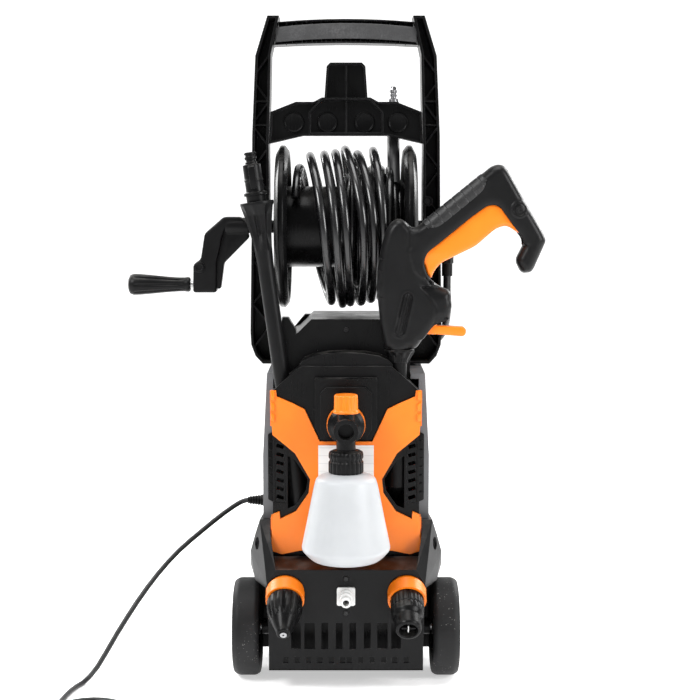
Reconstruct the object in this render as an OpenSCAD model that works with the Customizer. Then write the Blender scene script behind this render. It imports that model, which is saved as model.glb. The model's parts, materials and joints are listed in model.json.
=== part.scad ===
// Upright electric pressure washer with hose reel, stored spray gun, lance,
// foam bottle and two nozzles. Millimetres, +Z up, +X to the operator's right
// while facing the machine, +Y away from the operator. The origin is on the
// floor, on the machine's centre plane, in the flat sole of the base.

/* [Base and wheels] */
// Half width of the base tub
base_half_w = 104; // [96:1:112]
// Y of the base's front face
base_front_y = -150; // [-165:1:-140]
// Y of the base's far face
base_back_y = 126; // [115:1:140]
// Height of the front face's top ridge
ridge_z = 163; // [150:1:180]
// Height of the front face's bottom edge
skirt_z = 30; // [20:1:40]
// Half width over the flared mudguards
guard_half_w = 130; // [124:1:140]
// Wheel radius
wheel_r = 66; // [58:1:72]
// Wheel width
wheel_w = 38; // [30:1:44]
// Gap from the tub's side to the wheel
wheel_gap = 11; // [8:1:14]
// Y of the wheel axle
axle_y = -72; // [-80:1:-64]
// Radius of the steel axle
axle_r = 5; // [4:0.5:6]

/* [Tower] */
// Half width of the black front cover
core_half_w = 98; // [90:1:104]
// Half width over the grey side panels
side_half_w = 113; // [108:1:120]
// Y of the front cover's face
core_front_y = -98; // [-106:1:-92]
// Y where the front cover meets the top cover
split_y = -50; // [-56:1:-46]
// Y of the tower's far side
tower_back_y = 104; // [96:1:110]
// Underside of the tower's covers
tower_z0 = 150.6; // [150.4:0.1:155]
// Top of the grey side panels
side_top_z = 412; // [400:1:420]
// Top of the tower
tower_top_z = 485; // [470:1:488]
// Wall of the moulded covers
wall = 3; // [2.5:0.1:3.4]
// Thickness of the orange front trim
trim_t = 5.5; // [4:0.5:7]

/* [Handle] */
// Height of the handle's top
handle_top_z = 900; // [880:5:960]
// Half width over the posts at the reel
post_half_w = 132; // [128:1:140]
// Width of each post's channel
post_w = 24; // [20:1:28]
// Depth of each post, front to back
post_d = 50; // [40:1:56]
// Wall of the ribbed posts
post_wall = 3.5; // [3:0.1:4.5]
// Thickness of the ribs
rib_t = 2; // [1.6:0.1:3]

/* [Hose reel] */
// Y of the reel's axis and the posts' middle
reel_y = 60; // [54:1:66]
// Height of the reel's axis
reel_z = 608; // [604:1:630]
// Radius of the reel's flanges
flange_r = 114.5; // [100:0.5:116]
// Radius of the reel's drum
drum_r = 57; // [48:1:64]
// Half distance between the outer faces of the flanges
flange_out_x = 98; // [92:1:100]
// Width of a flange's rim
rim_w = 18; // [12:1:20]
// Radius of the reel's shaft
shaft_r = 9; // [7:0.5:11]
// Distance from the reel's axis to the crank's grip
crank_r = 82; // [70:1:90]
// Length of the crank's grip
grip_len = 88; // [76:1:100]
// Diameter of the high-pressure hose
hose_d = 12.5; // [11:0.5:14]
// Outer radius of the wound hose
wound_r = 110; // [90:1:112]

/* [Spray gun and lance] */
// Y of the stored gun's and lance's middle
stow_y = -76; // [-80:1:-74]
// X of the gun's muzzle
gun_x = 70; // [64:1:72]
// Thickness of the gun's body
gun_t = 34; // [28:1:34]
// Radius of the gun's muzzle tube
muzzle_r = 11.5; // [10:0.5:13]
// Lean of the stored lance from upright
lance_lean = 7.8; // [6:0.1:9]
// X of the lance where it enters the front cover
lance_x = -82; // [-84:1:-76]
// Radius of the lance's tube
lance_r = 10.8; // [9:0.1:12]
// Length of the lance tube above the front cover
lance_up = 204; // [190:1:215]
// Length of the lance tube in its holster
lance_down = 150; // [120:5:160]

/* [Foam bottle and nozzles] */
// Height of the foam lance's axis
foam_z = 352; // [345:1:360]
// Y of the foam bottle's axis
bottle_y = -165; // [-170:1:-162]
// Greatest radius of the foam bottle
bottle_r = 57.5; // [50:0.5:60]
// X of the nozzle holders
nozzle_x = 80; // [74:1:84]
// Height of the nozzle holders
nozzle_z = 128; // [124:1:134]
// Downward tilt of the stored nozzles
nozzle_tilt = 30; // [20:1:35]
// Radius of the turbo nozzle
turbo_r = 23.5; // [20:0.5:25]

/* [Water and power] */
// Radius of the water inlet's nose
nose_r = 7; // [6:0.5:8]
// Radius of the high-pressure hose's quick plug
plug_r = 5.6; // [5:0.1:6.2]
// Diameter of the power cord
cord_d = 7; // [6:0.5:8]

/* [Fits] */
// Radial clearance of turning pins and shafts
pin_clear = 0.05; // [0.02:0.01:0.1]
// Gap between covers that meet
seam = 0.4; // [0.3:0.1:0.8]
// Clearance of pull-out pieces in their holders
stow_clear = 0.8; // [0.5:0.1:1.5]

/* [Hidden] */
$fn = 48;
eps = 0.02;
wheel_x0 = base_half_w + wheel_gap;
wheel_x1 = wheel_x0 + wheel_w;
axle_z = wheel_r;
trim_y0 = core_front_y - seam - trim_t;
panel_y = core_front_y - 14;
boss_y = panel_y - 6;
ledge_z = ridge_z + 8;
post_y0 = reel_y - post_d / 2;
post_y1 = reel_y + post_d / 2;
post_in = post_half_w - post_w;
flange_in_x = flange_out_x - rim_w;
web_x = (flange_out_x + flange_in_x) / 2;
grip_z0 = handle_top_z - 41;
hose_r = hose_d / 2;
cord_r = cord_d / 2;
crank_x0 = post_half_w + 6;
crank_x = crank_x0 + 49;
knob_x0 = crank_x + 34.5;
knob_x1 = knob_x0 + grip_len;
crank_z = reel_z - crank_r;
cap_top = foam_z - 27;
cap_bot = cap_top - 30;
motor_y = 22;
black = [0.07, 0.07, 0.075];
soft_black = [0.12, 0.12, 0.125];
orange = [1.0, 0.42, 0.05];
silver = [0.62, 0.63, 0.65];
steel = [0.7, 0.7, 0.72];
white = [0.92, 0.92, 0.9];

// ---------------------------------------------------------------- helpers
// A box from its low and high corners.
module span(lo, hi) {
  translate(lo) cube(hi - lo);
}

// A child standing along +Z, laid along +X.
module along_x() {
  rotate([0, 90, 0]) children();
}

// A child standing along +Z, laid along -Y.
module along_front() {
  rotate([90, 0, 0]) children();
}

// An outline drawn in X and Z, made solid from y0 to y1.
module slab(y0, y1) {
  translate([0, y1, 0]) rotate([90, 0, 0]) linear_extrude(y1 - y0) children();
}

// An outline drawn in Y and Z, made solid from x0 to x1.
module side_slab(x0, x1) {
  translate([x0, 0, 0]) rotate([90, 0, 90]) linear_extrude(x1 - x0) children();
}

// The convex solid around a list of points.
module around(pts) {
  hull() polyhedron(points = pts, faces = [for (i = [0:len(pts) - 3]) [i, i + 1, i + 2]]);
}

// The points and their mirror images in the centre plane.
function both(pts) = [for (p = pts) for (s = [-1, 1]) [s * p[0], p[1], p[2]]];

// A tube following points, closed at both ends: rings square to the path.
function unit(v) = v / norm(v);
function away(pts, i) = i == 0 ? pts[1] - pts[0]
  : i == len(pts) - 1 ? pts[i] - pts[i - 1] : unit(pts[i + 1] - pts[i]) + unit(pts[i] - pts[i - 1]);
function square(t, hint) = unit(hint - t * (hint * t));
module sweep(pts, r, sides = 10, hint = [0.13, 0.97, 0.21]) {
  n = len(pts);
  ring_pts = [for (i = [0:n - 1]) let (t = unit(away(pts, i)), u = square(t, hint), v = cross(t, u))
    for (k = [0:sides - 1]) pts[i] + r * (u * cos(360 * k / sides) + v * sin(360 * k / sides))];
  walls = [for (i = [0:n - 2]) for (k = [0:sides - 1]) let (a = i * sides + k,
    b = i * sides + (k + 1) % sides) each [[a, a + sides, b + sides], [a, b + sides, b]]];
  near = [for (k = [0:sides - 1]) k];
  far = [for (k = [0:sides - 1]) n * sides - 1 - k];
  polyhedron(points = ring_pts, faces = concat(walls, [near], [far]), convexity = 6);
}

// Catmull-Rom points through a hand-set route, m steps to each leg.
function smooth_leg(a, b, c, d, t) = 0.5 * ((2 * b) + (c - a) * t
  + (2 * a - 5 * b + 4 * c - d) * t * t + (3 * b - a - 3 * c + d) * t * t * t);
function route(p, m) = concat([for (i = [0:len(p) - 2]) for (j = [0:m - 1])
  smooth_leg(p[max(0, i - 1)], p[i], p[i + 1], p[min(len(p) - 1, i + 2)], j / m)],
  [p[len(p) - 1]]);

// ------------------------------------------------------------------- base
module base_chassis() {
  color(black) difference() {
    union() {
      span([-base_half_w, -107, 14], [base_half_w, base_back_y, 150]);
      span([-80, -16, 0], [80, 118, 15]);
      // Splash walls behind the wheels.
      span([-guard_half_w + 2, axle_y + wheel_r + 8, 14], [guard_half_w - 2, axle_y + wheel_r + 11, 134]);
      for (s = [-1, 1])
        translate([s * (base_half_w + wheel_gap / 2 - 0.8), axle_y, axle_z])
          along_x() cylinder(r = 11, h = wheel_gap + 1, center = true);
    }
    span([-base_half_w + wall, -107 + wall, 14 + wall], [base_half_w - wall, base_back_y - wall, 146]);
    span([-95, -107 + wall, 140], [95, tower_back_y + 8, 151]);
    span([-77, -13, 4], [77, 115, 20]);
    translate([0, axle_y, axle_z]) along_x() cylinder(r = axle_r + pin_clear, h = 400, center = true);
    // Clearance for the nozzle cups and the inlet's tail.
    span([-base_half_w + 1, -108, 92], [base_half_w - 1, -103, 151]);
  }
}

cowl_out = both([[base_half_w, base_front_y, 143], [92, base_front_y, ridge_z],
  [122, -104, 138], [guard_half_w, -72, 152], [guard_half_w, -72, 171], [116.5, -88, 217],
  [guard_half_w, 30, 152], [guard_half_w, 30, 171], [117, 30, 203], [guard_half_w - 6, 30, 138],
  [112, base_back_y + 2, 138], [112, base_back_y + 2, 171], [110, base_back_y + 2, 190],
  [base_half_w, base_front_y, 138]]);
cowl_in = both([[base_half_w - 4, base_front_y + wall, 142], [89, base_front_y + wall, ridge_z - 4],
  [118, -104, 120], [guard_half_w - wall, -72, 150], [guard_half_w - wall, -72, 170],
  [113.5, -86, 214], [guard_half_w - wall, 30, 150], [guard_half_w - wall, 30, 170],
  [114, 30, 200], [guard_half_w - 9, 30, 120], [109, base_back_y - 1, 120],
  [109, base_back_y - 1, 170], [107, base_back_y - 1, 187], [base_half_w - 4, base_front_y + wall, 120]]);

// The wedge of air above the front ledge, lowered by drop; it widens to the back.
module over_ledge(drop, half) {
  around([for (p = [[base_front_y - 20, ridge_z - 1 - drop], [base_front_y, ridge_z - drop],
    [core_front_y - 6, ledge_z - drop], [core_front_y - 6, 260], [base_front_y - 20, 260]])
    for (s = [-1, 1]) [s * (half + 0.2 * (p[0] - base_front_y)), p[0], p[1]]]);
}

// Air slots and holes through the cowl's front plate.
module cowl_holes() {
  for (s = [-1, 1]) {
    for (g = [[9, 9], [28, 9], [48, 14], [66, 13]])
      span([s * g[0] - g[1] / 2, base_front_y - 5, 57], [s * g[0] + g[1] / 2, base_front_y + 5, 92]);
    for (k = [0:5])
      span([s * (4.5 + 15 * k) - 3.5, base_front_y - 5, 38],
        [s * (4.5 + 15 * k) + 3.5, base_front_y + 5, 46]);
    at_nozzle(s) {
      translate([0, 0, -14]) cylinder(r = 26, h = 54);
      translate([0, 0, -34.6]) cylinder(r1 = 13.6, r2 = 25, h = 21);
    }
    translate([s * 117, -92, 184]) rotate([0, s * 62, 0]) rotate([0, 0, 20])
      cylinder(r = 8, h = 30, center = true);
    translate([0, base_front_y, nozzle_z + s * 23]) along_front()
      cylinder(r = 3.6, h = 20, center = true);
  }
  translate([0, base_front_y, nozzle_z]) along_front() cylinder(r = 9.4, h = 20, center = true);
}

module base_cowl() {
  color(soft_black) difference() {
    union() {
      difference() {
        around(cowl_out);
        over_ledge(0, 92.5);
      }
      around([for (x = [-1, 1]) each [[x * (base_half_w - 3), base_front_y, skirt_z],
        [x * base_half_w, base_front_y, 143], [x * base_half_w, -112, 143],
        [x * (base_half_w - 3), -112, skirt_z]]]);
    }
    difference() {
      union() {
        around(cowl_in);
        around([for (x = [-1, 1]) each [[x * (base_half_w - 3 - wall), base_front_y + wall, skirt_z - 1],
          [x * (base_half_w - wall), base_front_y + wall, 143], [x * (base_half_w - wall), -100, 143],
          [x * (base_half_w - 3 - wall), -100, skirt_z - 1]]]);
      }
      over_ledge(wall, 92.5 + wall);
    }
    // Room for the tub, the tower and the wheels.
    span([-base_half_w - seam, -107 - seam, 0], [base_half_w + seam, 200, 152]);
    span([-core_half_w - 3.5, trim_y0 - 1, 166], [core_half_w + 3.5, 200, 260]);
    span([-side_half_w - seam, -64, 150.5], [side_half_w + seam, 200, 260]);
    span([-200, -107, 0], [200, 200, 137.5]);
    for (s = [-1, 1])
      translate([s * (wheel_x0 + 12), axle_y, axle_z])
        along_x() cylinder(r = wheel_r + 5, h = 36, center = true);
    cowl_holes();
  }
}

module wheel(s) {
  translate([s * wheel_x0, axle_y, axle_z]) along_x() scale([1, 1, s])
    difference() {
      rotate_extrude($fn = 64)
        polygon([[11, 6], [16, 6], [16, 16], [wheel_r - 14, 16], [wheel_r - 14, 3], [wheel_r - 7, 0],
          [wheel_r - 2, 3], [wheel_r, 7], [wheel_r, wheel_w - 8], [wheel_r - 2, wheel_w - 4],
          [wheel_r - 8, wheel_w], [wheel_r - 15, wheel_w], [wheel_r - 17, 22], [17, 22],
          [15, wheel_w - 6], [0, wheel_w - 6], [0, 2], [11, 2]]);
      translate([0, 0, -1]) cylinder(r = axle_r + pin_clear, h = wheel_w + 5);
      translate([0, 0, wheel_w - 10]) cylinder(r = 11, h = 10);
      for (k = [0:5]) rotate([0, 0, 60 * k]) translate([34, 0, 10]) cylinder(r = 9, h = 20);
    }
}

module wheel_left() {
  color(black) wheel(-1);
}

module wheel_right() {
  color(black) wheel(1);
}

module axle() {
  color(steel) translate([0, axle_y, axle_z]) along_x()
    cylinder(r = axle_r, h = 2 * (wheel_x1 - 4), center = true);
}

module axle_clips() {
  color(steel) for (s = [-1, 1])
    translate([s * (wheel_x1 - 7.5), axle_y, axle_z]) along_x() difference() {
      cylinder(r = 9, h = 4, center = true);
      cylinder(r = axle_r, h = 6, center = true);
    }
}

// ------------------------------------------------------------ tower covers
core_outline = [[core_half_w, tower_z0], [core_half_w, 392], [86, 404], [60, 426], [-60, 426],
  [-86, 404], [-core_half_w, 392], [-core_half_w, tower_z0]];
hood = [[62, 418], [62, 428], [56, 434], [44, 439], [24, 442.5], [0, 443.5], [-24, 442.5],
  [-44, 439], [-56, 434], [-62, 428], [-62, 418]];
pocket = [[78, 234], [68, 238], [54, 258], [51, 274], [68, 300], [78, 306]];

// A child placed on the lance's axis, +Z towards its top.
module on_lance() {
  translate([lance_x, stow_y, 376]) rotate([0, -lance_lean, 0]) children();
}

// A child placed on the nozzle holder's axis, +Z towards the nozzle's tip.
module at_nozzle(s) {
  translate([s * nozzle_x, base_front_y - 2, nozzle_z]) rotate([nozzle_tilt, 0, 0])
    along_front() children();
}

module front_cover() {
  color(black) difference() {
    union() {
      difference() {
        slab(core_front_y, split_y - seam) polygon(core_outline);
        slab(core_front_y + wall, split_y + 1) offset(delta = -wall) polygon(core_outline);
      }
      // Arched hood in front of the top cover.
      difference() {
        slab(core_front_y + 5, split_y - seam) polygon(hood);
        slab(core_front_y + 5 + wall, split_y + 1) offset(delta = -wall) polygon(hood);
      }
      slab(panel_y, core_front_y + 1)
        polygon([[41, 411], [41, 346], [33, 329], [-33, 329], [-41, 346], [-41, 411]]);
      slab(boss_y, panel_y + 1)
        polygon([[26, 400], [34, 392], [34, 344], [28, 334], [-28, 334], [-34, 344], [-34, 392],
          [-26, 400]]);
      translate([0, boss_y + 1, foam_z]) along_front() cylinder(r = 8, h = 15);
      intersection() {
        union() {
          on_lance() translate([0, 0, -lance_down - 4]) cylinder(r = 15, h = lance_down + 24);
          translate([gun_x, stow_y, 262]) cylinder(r = 18, h = 164);
        }
        slab(core_front_y, split_y - seam) polygon(core_outline);
      }
    }
    // Hollow behind the raised panel.
    slab(boss_y + wall, core_front_y + wall + 1)
      polygon([[30, 390], [30, 348], [25, 338], [-25, 338], [-30, 348], [-30, 390]]);
    on_lance() translate([0, 0, -lance_down - 1]) cylinder(r = lance_r + stow_clear, h = 300);
    translate([gun_x, stow_y, 265]) cylinder(r = 15, h = 260);
    for (s = [-1, 1]) {
      slab(core_front_y - 1, core_front_y + wall + 0.01)
        polygon([for (p = pocket) [s * p[0], p[1]]]);
      slab(core_front_y - 1, core_front_y + wall + 0.01)
        polygon([[s * 81, 242], [s * 95, 242], [s * 95, 326], [s * 81, 326]]);
    }
  }
}

top_outline = [[87, 405], [87, 455], [66, 466], [47, tower_top_z], [-47, tower_top_z],
  [-66, 466], [-87, 455], [-87, 405]];

module top_cover() {
  color(black) difference() {
    union() {
      slab(split_y, tower_back_y) polygon(top_outline);
      for (s = [-1, 1])
        slab(split_y, split_y + 22)
          polygon([[s * 87, 440], [s * 87, 487], [s * 78, 487], [s * 68, 470], [s * 68, 440]]);
    }
    slab(split_y + wall, tower_back_y - wall)
      polygon([[87 - wall, 404], [87 - wall, 453], [64.5, 463], [46, tower_top_z - wall],
        [-46, tower_top_z - wall], [-64.5, 463], [-87 + wall, 453], [-87 + wall, 404]]);
    translate([0, split_y, 471]) along_front() cylinder(r = 3.4, h = 20, center = true);
  }
}

module side_panel(s) {
  scale([s, 1, 1]) difference() {
    slab(-62, tower_back_y)
      polygon([[core_half_w + seam, tower_z0], [side_half_w, tower_z0], [side_half_w, 300],
        [side_half_w - 6, side_top_z], [87 + seam, side_top_z], [87 + seam, 404],
        [core_half_w + seam, 392]]);
    slab(-62 + wall, tower_back_y - wall)
      polygon([[core_half_w - 2, tower_z0 - 1], [side_half_w - wall, tower_z0 - 1],
        [side_half_w - wall, 300], [side_half_w - 6 - wall, side_top_z - wall],
        [80, side_top_z - wall], [80, 392], [core_half_w - 2, 380]]);
    span([80, -70, 380], [core_half_w + seam, split_y, 405]);
    // Slanted teeth beside the louvres.
    for (k = [0:6])
      translate([core_half_w + 3, -62, 248 + 11.5 * k]) rotate([0, -35, 0])
        cube([9, 8, 4], center = true);
  }
}

module side_panel_left() {
  color(silver) difference() {
    side_panel(-1);
    translate([-side_half_w, 20, 222]) along_x() cylinder(r = cord_r + 0.5, h = 20, center = true);
  }
}

module side_panel_right() {
  color(silver) side_panel(1);
}

module rear_cover() {
  color(black) difference() {
    slab(tower_back_y + seam, tower_back_y + 14)
      polygon([[108, tower_z0], [108, 300], [103, 412], [80, 456], [60, 480], [-60, 480],
        [-80, 456], [-103, 412], [-108, 300], [-108, tower_z0]]);
    slab(tower_back_y, tower_back_y + 14 - wall)
      polygon([[105, tower_z0 - 1], [105, 300], [100, 411], [78, 453], [59, 477], [-59, 477],
        [-78, 453], [-100, 411], [-105, 300], [-105, tower_z0 - 1]]);
    for (k = [0:6])
      span([-50, tower_back_y, 200 + 12 * k], [50, tower_back_y + 20, 205 + 12 * k]);
    translate([0, tower_back_y, 390]) along_front() cylinder(r = 9, h = 60, center = true);
  }
}

module rear_trim() {
  color(orange) difference() {
    around(both([[119, 90, 212], [119, 90, 262], [119, tower_back_y + 13, 212],
      [119, tower_back_y + 13, 276], [112, tower_back_y + 19, 212], [112, tower_back_y + 19, 286]]));
    span([-side_half_w - seam, 80, 190], [side_half_w + seam, tower_back_y + 14 + seam, 300]);
    span([-55, 90, 190], [55, 140, 300]);
  }
}

trim_half = [[0, 326], [35, 326], [55, 369], [71, 377], [92, 386], [93, 394], [101, 394],
  [101, 379], [98, 335], [68, 310], [48, 275], [50, 256], [67, 231], [88, 221], [89, 231],
  [98, 227], [100.6, 178], [86, 173], [62, 178], [0, 178]];

module front_trim() {
  color(orange) union() {
    for (s = [-1, 1]) {
      slab(trim_y0, core_front_y - seam) polygon([for (p = trim_half) [s * p[0], p[1]]]);
      slab(core_front_y - seam - eps, -76)
        polygon([[s * (core_half_w + seam), 346], [s * 101, 346], [s * 101, 391],
          [s * (core_half_w + seam), 391]]);
      slab(core_front_y - seam - eps, -76)
        polygon([[s * (core_half_w + seam), 182], [s * 101, 182], [s * 101, 222],
          [s * (core_half_w + seam), 222]]);
    }
  }
}

module louvre(s) {
  difference() {
    slab(core_front_y + 0.5, core_front_y + wall)
      polygon([[s * 81.3, 242.3], [s * 94.7, 242.3], [s * 94.7, 325.7], [s * 81.3, 325.7]]);
    for (k = [0:6])
      translate([s * 88, core_front_y, 249.5 + 11.5 * k]) rotate([0, s * -18, 0])
        cube([10, 12, 5], center = true);
  }
}

module louvres() {
  color(soft_black) {
    louvre(-1);
    louvre(1);
  }
}

module holder_rings() {
  color(orange) {
    for (s = [-1, 1])
      at_nozzle(s) rotate_extrude()
        polygon([[22, 8], [25.4, 8], [25.6, -10], [13, -34], [0, -34], [0, -31], [5, -31],
          [6, -8], [7, -10], [7, -31], [11.5, -31], [22, -10]]);
    translate([0, boss_y - seam, foam_z]) along_front() difference() {
      cylinder(r = 25.5, h = 13);
      translate([0, 0, -1]) cylinder(r = 22.3, h = 16);
    }
  }
}

module label_plate() {
  color(white) span([-37, trim_y0 - 0.8, 258], [37, trim_y0, 321]);
}

module water_inlet() {
  color(white) translate([0, base_front_y, nozzle_z]) along_front() difference() {
    union() {
      linear_extrude(4) offset(r = 2.5) square(19, center = true);
      rotate_extrude()
        polygon([[0, -40], [9, -40], [9, 0], [10.5, 4], [10.5, 10], [nose_r + 1.6, 13],
          [nose_r + 1.6, 18], [nose_r - 1, 19], [nose_r - 1, 22], [nose_r, 23], [nose_r, 34],
          [nose_r - 1, 36], [0, 36]]);
    }
    translate([0, 0, -45]) cylinder(r = 4.2, h = 90);
  }
}

module screw(r, len) {
  cylinder(r = r, h = 2);
  translate([0, 0, -len]) cylinder(r = r * 0.5, h = len);
}

module body_screws() {
  color(steel) {
    for (s = [-1, 1])
      translate([0, base_front_y + 1, nozzle_z + s * 23]) along_front() screw(3.2, 8);
    translate([0, split_y + 1, 471]) along_front() screw(3, 5);
    for (s = [-1, 1])
      translate([s * (post_in + 7), post_y0 + post_wall, reel_z + 36]) along_front() screw(4, 6);
  }
}

// ------------------------------------------------------------------ handle
post_outline = [[93, handle_top_z], [109, handle_top_z], [126, handle_top_z - 55],
  [post_half_w - 1, handle_top_z - 165], [post_half_w, reel_z + 32], [post_half_w + 3, 461],
  [post_half_w + 2, 442], [post_half_w - 4, 426], [118, 415], [88, 415], [88, 440],
  [104, 447], [post_in, 480], [post_in, handle_top_z - 170], [post_in - 2, handle_top_z - 117],
  [104.5, handle_top_z - 53]];

// Zigzag and level ribs inside a post's channel.
module post_ribs() {
  zs = [for (k = [0:6]) handle_top_z - 86 - 63 * k];
  for (z = zs) {
    slab(post_y0 + 8, post_y1 - post_wall + eps)
      polygon([[post_in, z + 31 - rib_t], [post_in, z + 31 + rib_t], [post_half_w, z + rib_t],
        [post_half_w, z - rib_t]]);
    slab(post_y0 + 8, post_y1 - post_wall + eps)
      polygon([[post_in, z - 31 - rib_t], [post_in, z - 31 + rib_t], [post_half_w, z + rib_t],
        [post_half_w, z - rib_t]]);
  }
  for (z = [handle_top_z - 117, handle_top_z - 150])
    slab(post_y0 + 8, post_y1 - post_wall + eps)
      polygon([[post_in - 2, z - 1], [post_half_w, z - 1], [post_half_w, z + 1], [post_in - 2, z + 1]]);
}

module post(s) {
  scale([s, 1, 1]) difference() {
    union() {
      difference() {
        slab(post_y0, post_y1) polygon(post_outline);
        slab(post_y0 - 1, post_y1 - post_wall) offset(delta = -post_wall) polygon(post_outline);
      }
      intersection() {
        slab(post_y0, post_y1) polygon(post_outline);
        union() {
          post_ribs();
          translate([post_in, reel_y, reel_z]) along_x() cylinder(r = 15, h = 60, center = true);
          translate([post_in + 7, post_y1, reel_z + 36]) along_front() cylinder(r = 7, h = post_d);
        }
      }
    }
    translate([post_in, reel_y, reel_z]) along_x() cylinder(r = shaft_r + pin_clear, h = 90, center = true);
    translate([post_in + 7, post_y0 - 1, reel_z + 36]) along_front()
      translate([0, 0, -post_wall - 1]) cylinder(r = 4.4, h = 10);
    translate([post_in + 7, post_y0 + 12, reel_z + 36]) along_front() cylinder(r = 2.2, h = 14);
  }
}

module post_left() {
  color(black) post(-1);
}

module post_right() {
  color(black) post(1);
}

// The arched outline of the grip, from share lo to share hi of its height.
module arch(lo, hi, inset = 0) {
  low = [for (x = [-4:4]) [x * (25.3 - inset) * (1 - 0.068 * lo), grip_z0 + 4 + (33 * lo) - 0.18 * x * x]];
  top = [for (x = [-4:4]) [-x * (25.3 - inset) * (1 - 0.068 * hi), grip_z0 + 4 + (33 * hi) - 0.26 * x * x]];
  polygon(concat(low, top));
}

module grip_bar() {
  color(black) union() {
    slab(reel_y + 10, reel_y + 14) arch(0, 1);
    slab(reel_y - 20, reel_y + 14) arch(0, 0.07);
    slab(reel_y - 20, reel_y + 14) arch(0.93, 1);
    slab(reel_y - 18, reel_y + 11) arch(0.3, 0.7);
    intersection() {
      slab(reel_y - 12, reel_y + 11) arch(0, 1);
      for (k = [-5.5:5.5]) span([13.8 * k - 0.9, 0, grip_z0 - 10], [13.8 * k + 0.9, 100, handle_top_z]);
    }
  }
}

module grip_band() {
  color(soft_black) slab(reel_y - 21, reel_y - 18) arch(0.26, 0.74);
}

panel_half = [[0, 735], [60, 735], [post_in - seam, 724], [post_in - seam - 2, 768], [70, 782],
  [45, 782], [34, 788], [30, 788], [27, 831], [22, 836], [0, 836]];

module cross_panel() {
  outline = concat(panel_half, [for (i = [len(panel_half) - 2:-1:1]) [-panel_half[i][0], panel_half[i][1]]]);
  lift = handle_top_z - 900;
  color(black) translate([0, 0, lift]) difference() {
    union() {
      difference() {
        slab(post_y0 + 2, post_y0 + 20) polygon(outline);
        slab(post_y0 + 1, post_y0 + 20 - wall) offset(delta = -2.5) polygon(outline);
      }
      slab(post_y0 - 2, post_y0 + 20) difference() {
        polygon([[-52, 737], [52, 737], [52, 768], [34, 787], [-34, 787], [-52, 768]]);
        polygon([[-49.6, 739.4], [49.6, 739.4], [49.6, 767], [33, 784.6], [-33, 784.6], [-49.6, 767]]);
      }
      span([-1.2, post_y0 + 2, 737], [1.2, post_y0 + 18, 833]);
    }
    for (x = [-73, -26, 26, 73])
      translate([x, post_y0 + 20 - wall, 754]) along_front() cylinder(r = 14, h = 2.4, center = true);
  }
}

// -------------------------------------------------------------------- reel
module at_reel() {
  translate([0, reel_y, reel_z]) along_x() children();
}

module reel_drum() {
  color(black) at_reel() {
    difference() {
      cylinder(r = drum_r, h = 2 * web_x - 4, center = true, $fn = 72);
      cylinder(r = drum_r - 3, h = 2 * web_x - 10, center = true, $fn = 72);
      cylinder(r = shaft_r - 1, h = 400, center = true);
    }
    difference() {
      union() {
        translate([0, 0, -crank_x0 - 30]) cylinder(r = shaft_r, h = crank_x0 + 30);
        cylinder(r = shaft_r, h = post_half_w + 3);
      }
      translate([0, 0, -crank_x0 - 31]) cylinder(r = shaft_r - 4, h = 500);
    }
  }
}

module flange(s) {
  at_reel() scale([1, 1, s]) difference() {
    union() {
      difference() {
        translate([0, 0, flange_in_x]) cylinder(r = flange_r, h = rim_w, $fn = 72);
        translate([0, 0, flange_in_x - 1]) cylinder(r = flange_r - 3, h = rim_w + 2, $fn = 72);
      }
      translate([0, 0, web_x - 1.5]) cylinder(r = flange_r - 2.9, h = 3, $fn = 72);
      translate([0, 0, web_x - 1.5]) cylinder(r = 22, h = 8);
      for (k = [0:5]) rotate([0, 0, 60 * k])
        translate([drum_r + 4, -1.5, web_x - 8]) cube([flange_r - drum_r - 6, 3, 9]);
    }
    translate([0, 0, web_x - 10]) cylinder(r = shaft_r + 0.3, h = 40);
    for (k = [0:5]) rotate([0, 0, 60 * k + 30]) translate([86, 0, web_x - 3])
      cylinder(r = 15, h = 6);
  }
}

module flange_left() {
  color(black) flange(-1);
}

module flange_right() {
  color(black) flange(1);
}

module swivel_elbow() {
  x = post_half_w + 12;
  color(soft_black) translate([0, reel_y, 0]) difference() {
    union() {
      translate([post_half_w + 4, 0, reel_z]) along_x() cylinder(r = 10, h = 15);
      translate([x, 0, reel_z - 70]) cylinder(r = 7.5, h = 70);
      translate([x, 0, reel_z - 52]) cylinder(r = 9, h = 12, $fn = 6);
    }
    translate([x, 0, reel_z - 71]) cylinder(r = 3.5, h = 71);
    translate([post_half_w + 3, 0, reel_z]) along_x() cylinder(r = 3.5, h = 11);
  }
}

module feed_hose() {
  x = post_half_w + 12;
  y = reel_y;
  pts = [[x, y, reel_z - 70], [x, y, 515], [x + 1, y + 4, 494], [x, y + 15, 473], [x - 3, y + 34, 455],
    [x - 16, y + 40, 440], [x - 34, y + 40, 432], [100, y + 38, 430], [87.4, y + 38, 430]];
  color(soft_black) sweep(route(pts, 3), 5.5, 10, [0.3, 0.2, 0.93]);
}

crank_outline = [[-crank_x0, 14], [-crank_x0 - 35, 14], [-crank_x0 - 37, 4], [-crank_x0 - 60, -8],
  [-crank_x0 - 63, -13], [-crank_x0 - 65, -44], [-crank_x0 - 78, -54], [-crank_x0 - 81, -crank_r - 8],
  [-crank_x0 - 79, -crank_r - 12], [-crank_x0 - 50, -crank_r - 12], [-crank_x0 - 48, -crank_r - 8],
  [-crank_x0 - 39, -57], [-crank_x0 - 18, -19], [-crank_x0, -12]];

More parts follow.
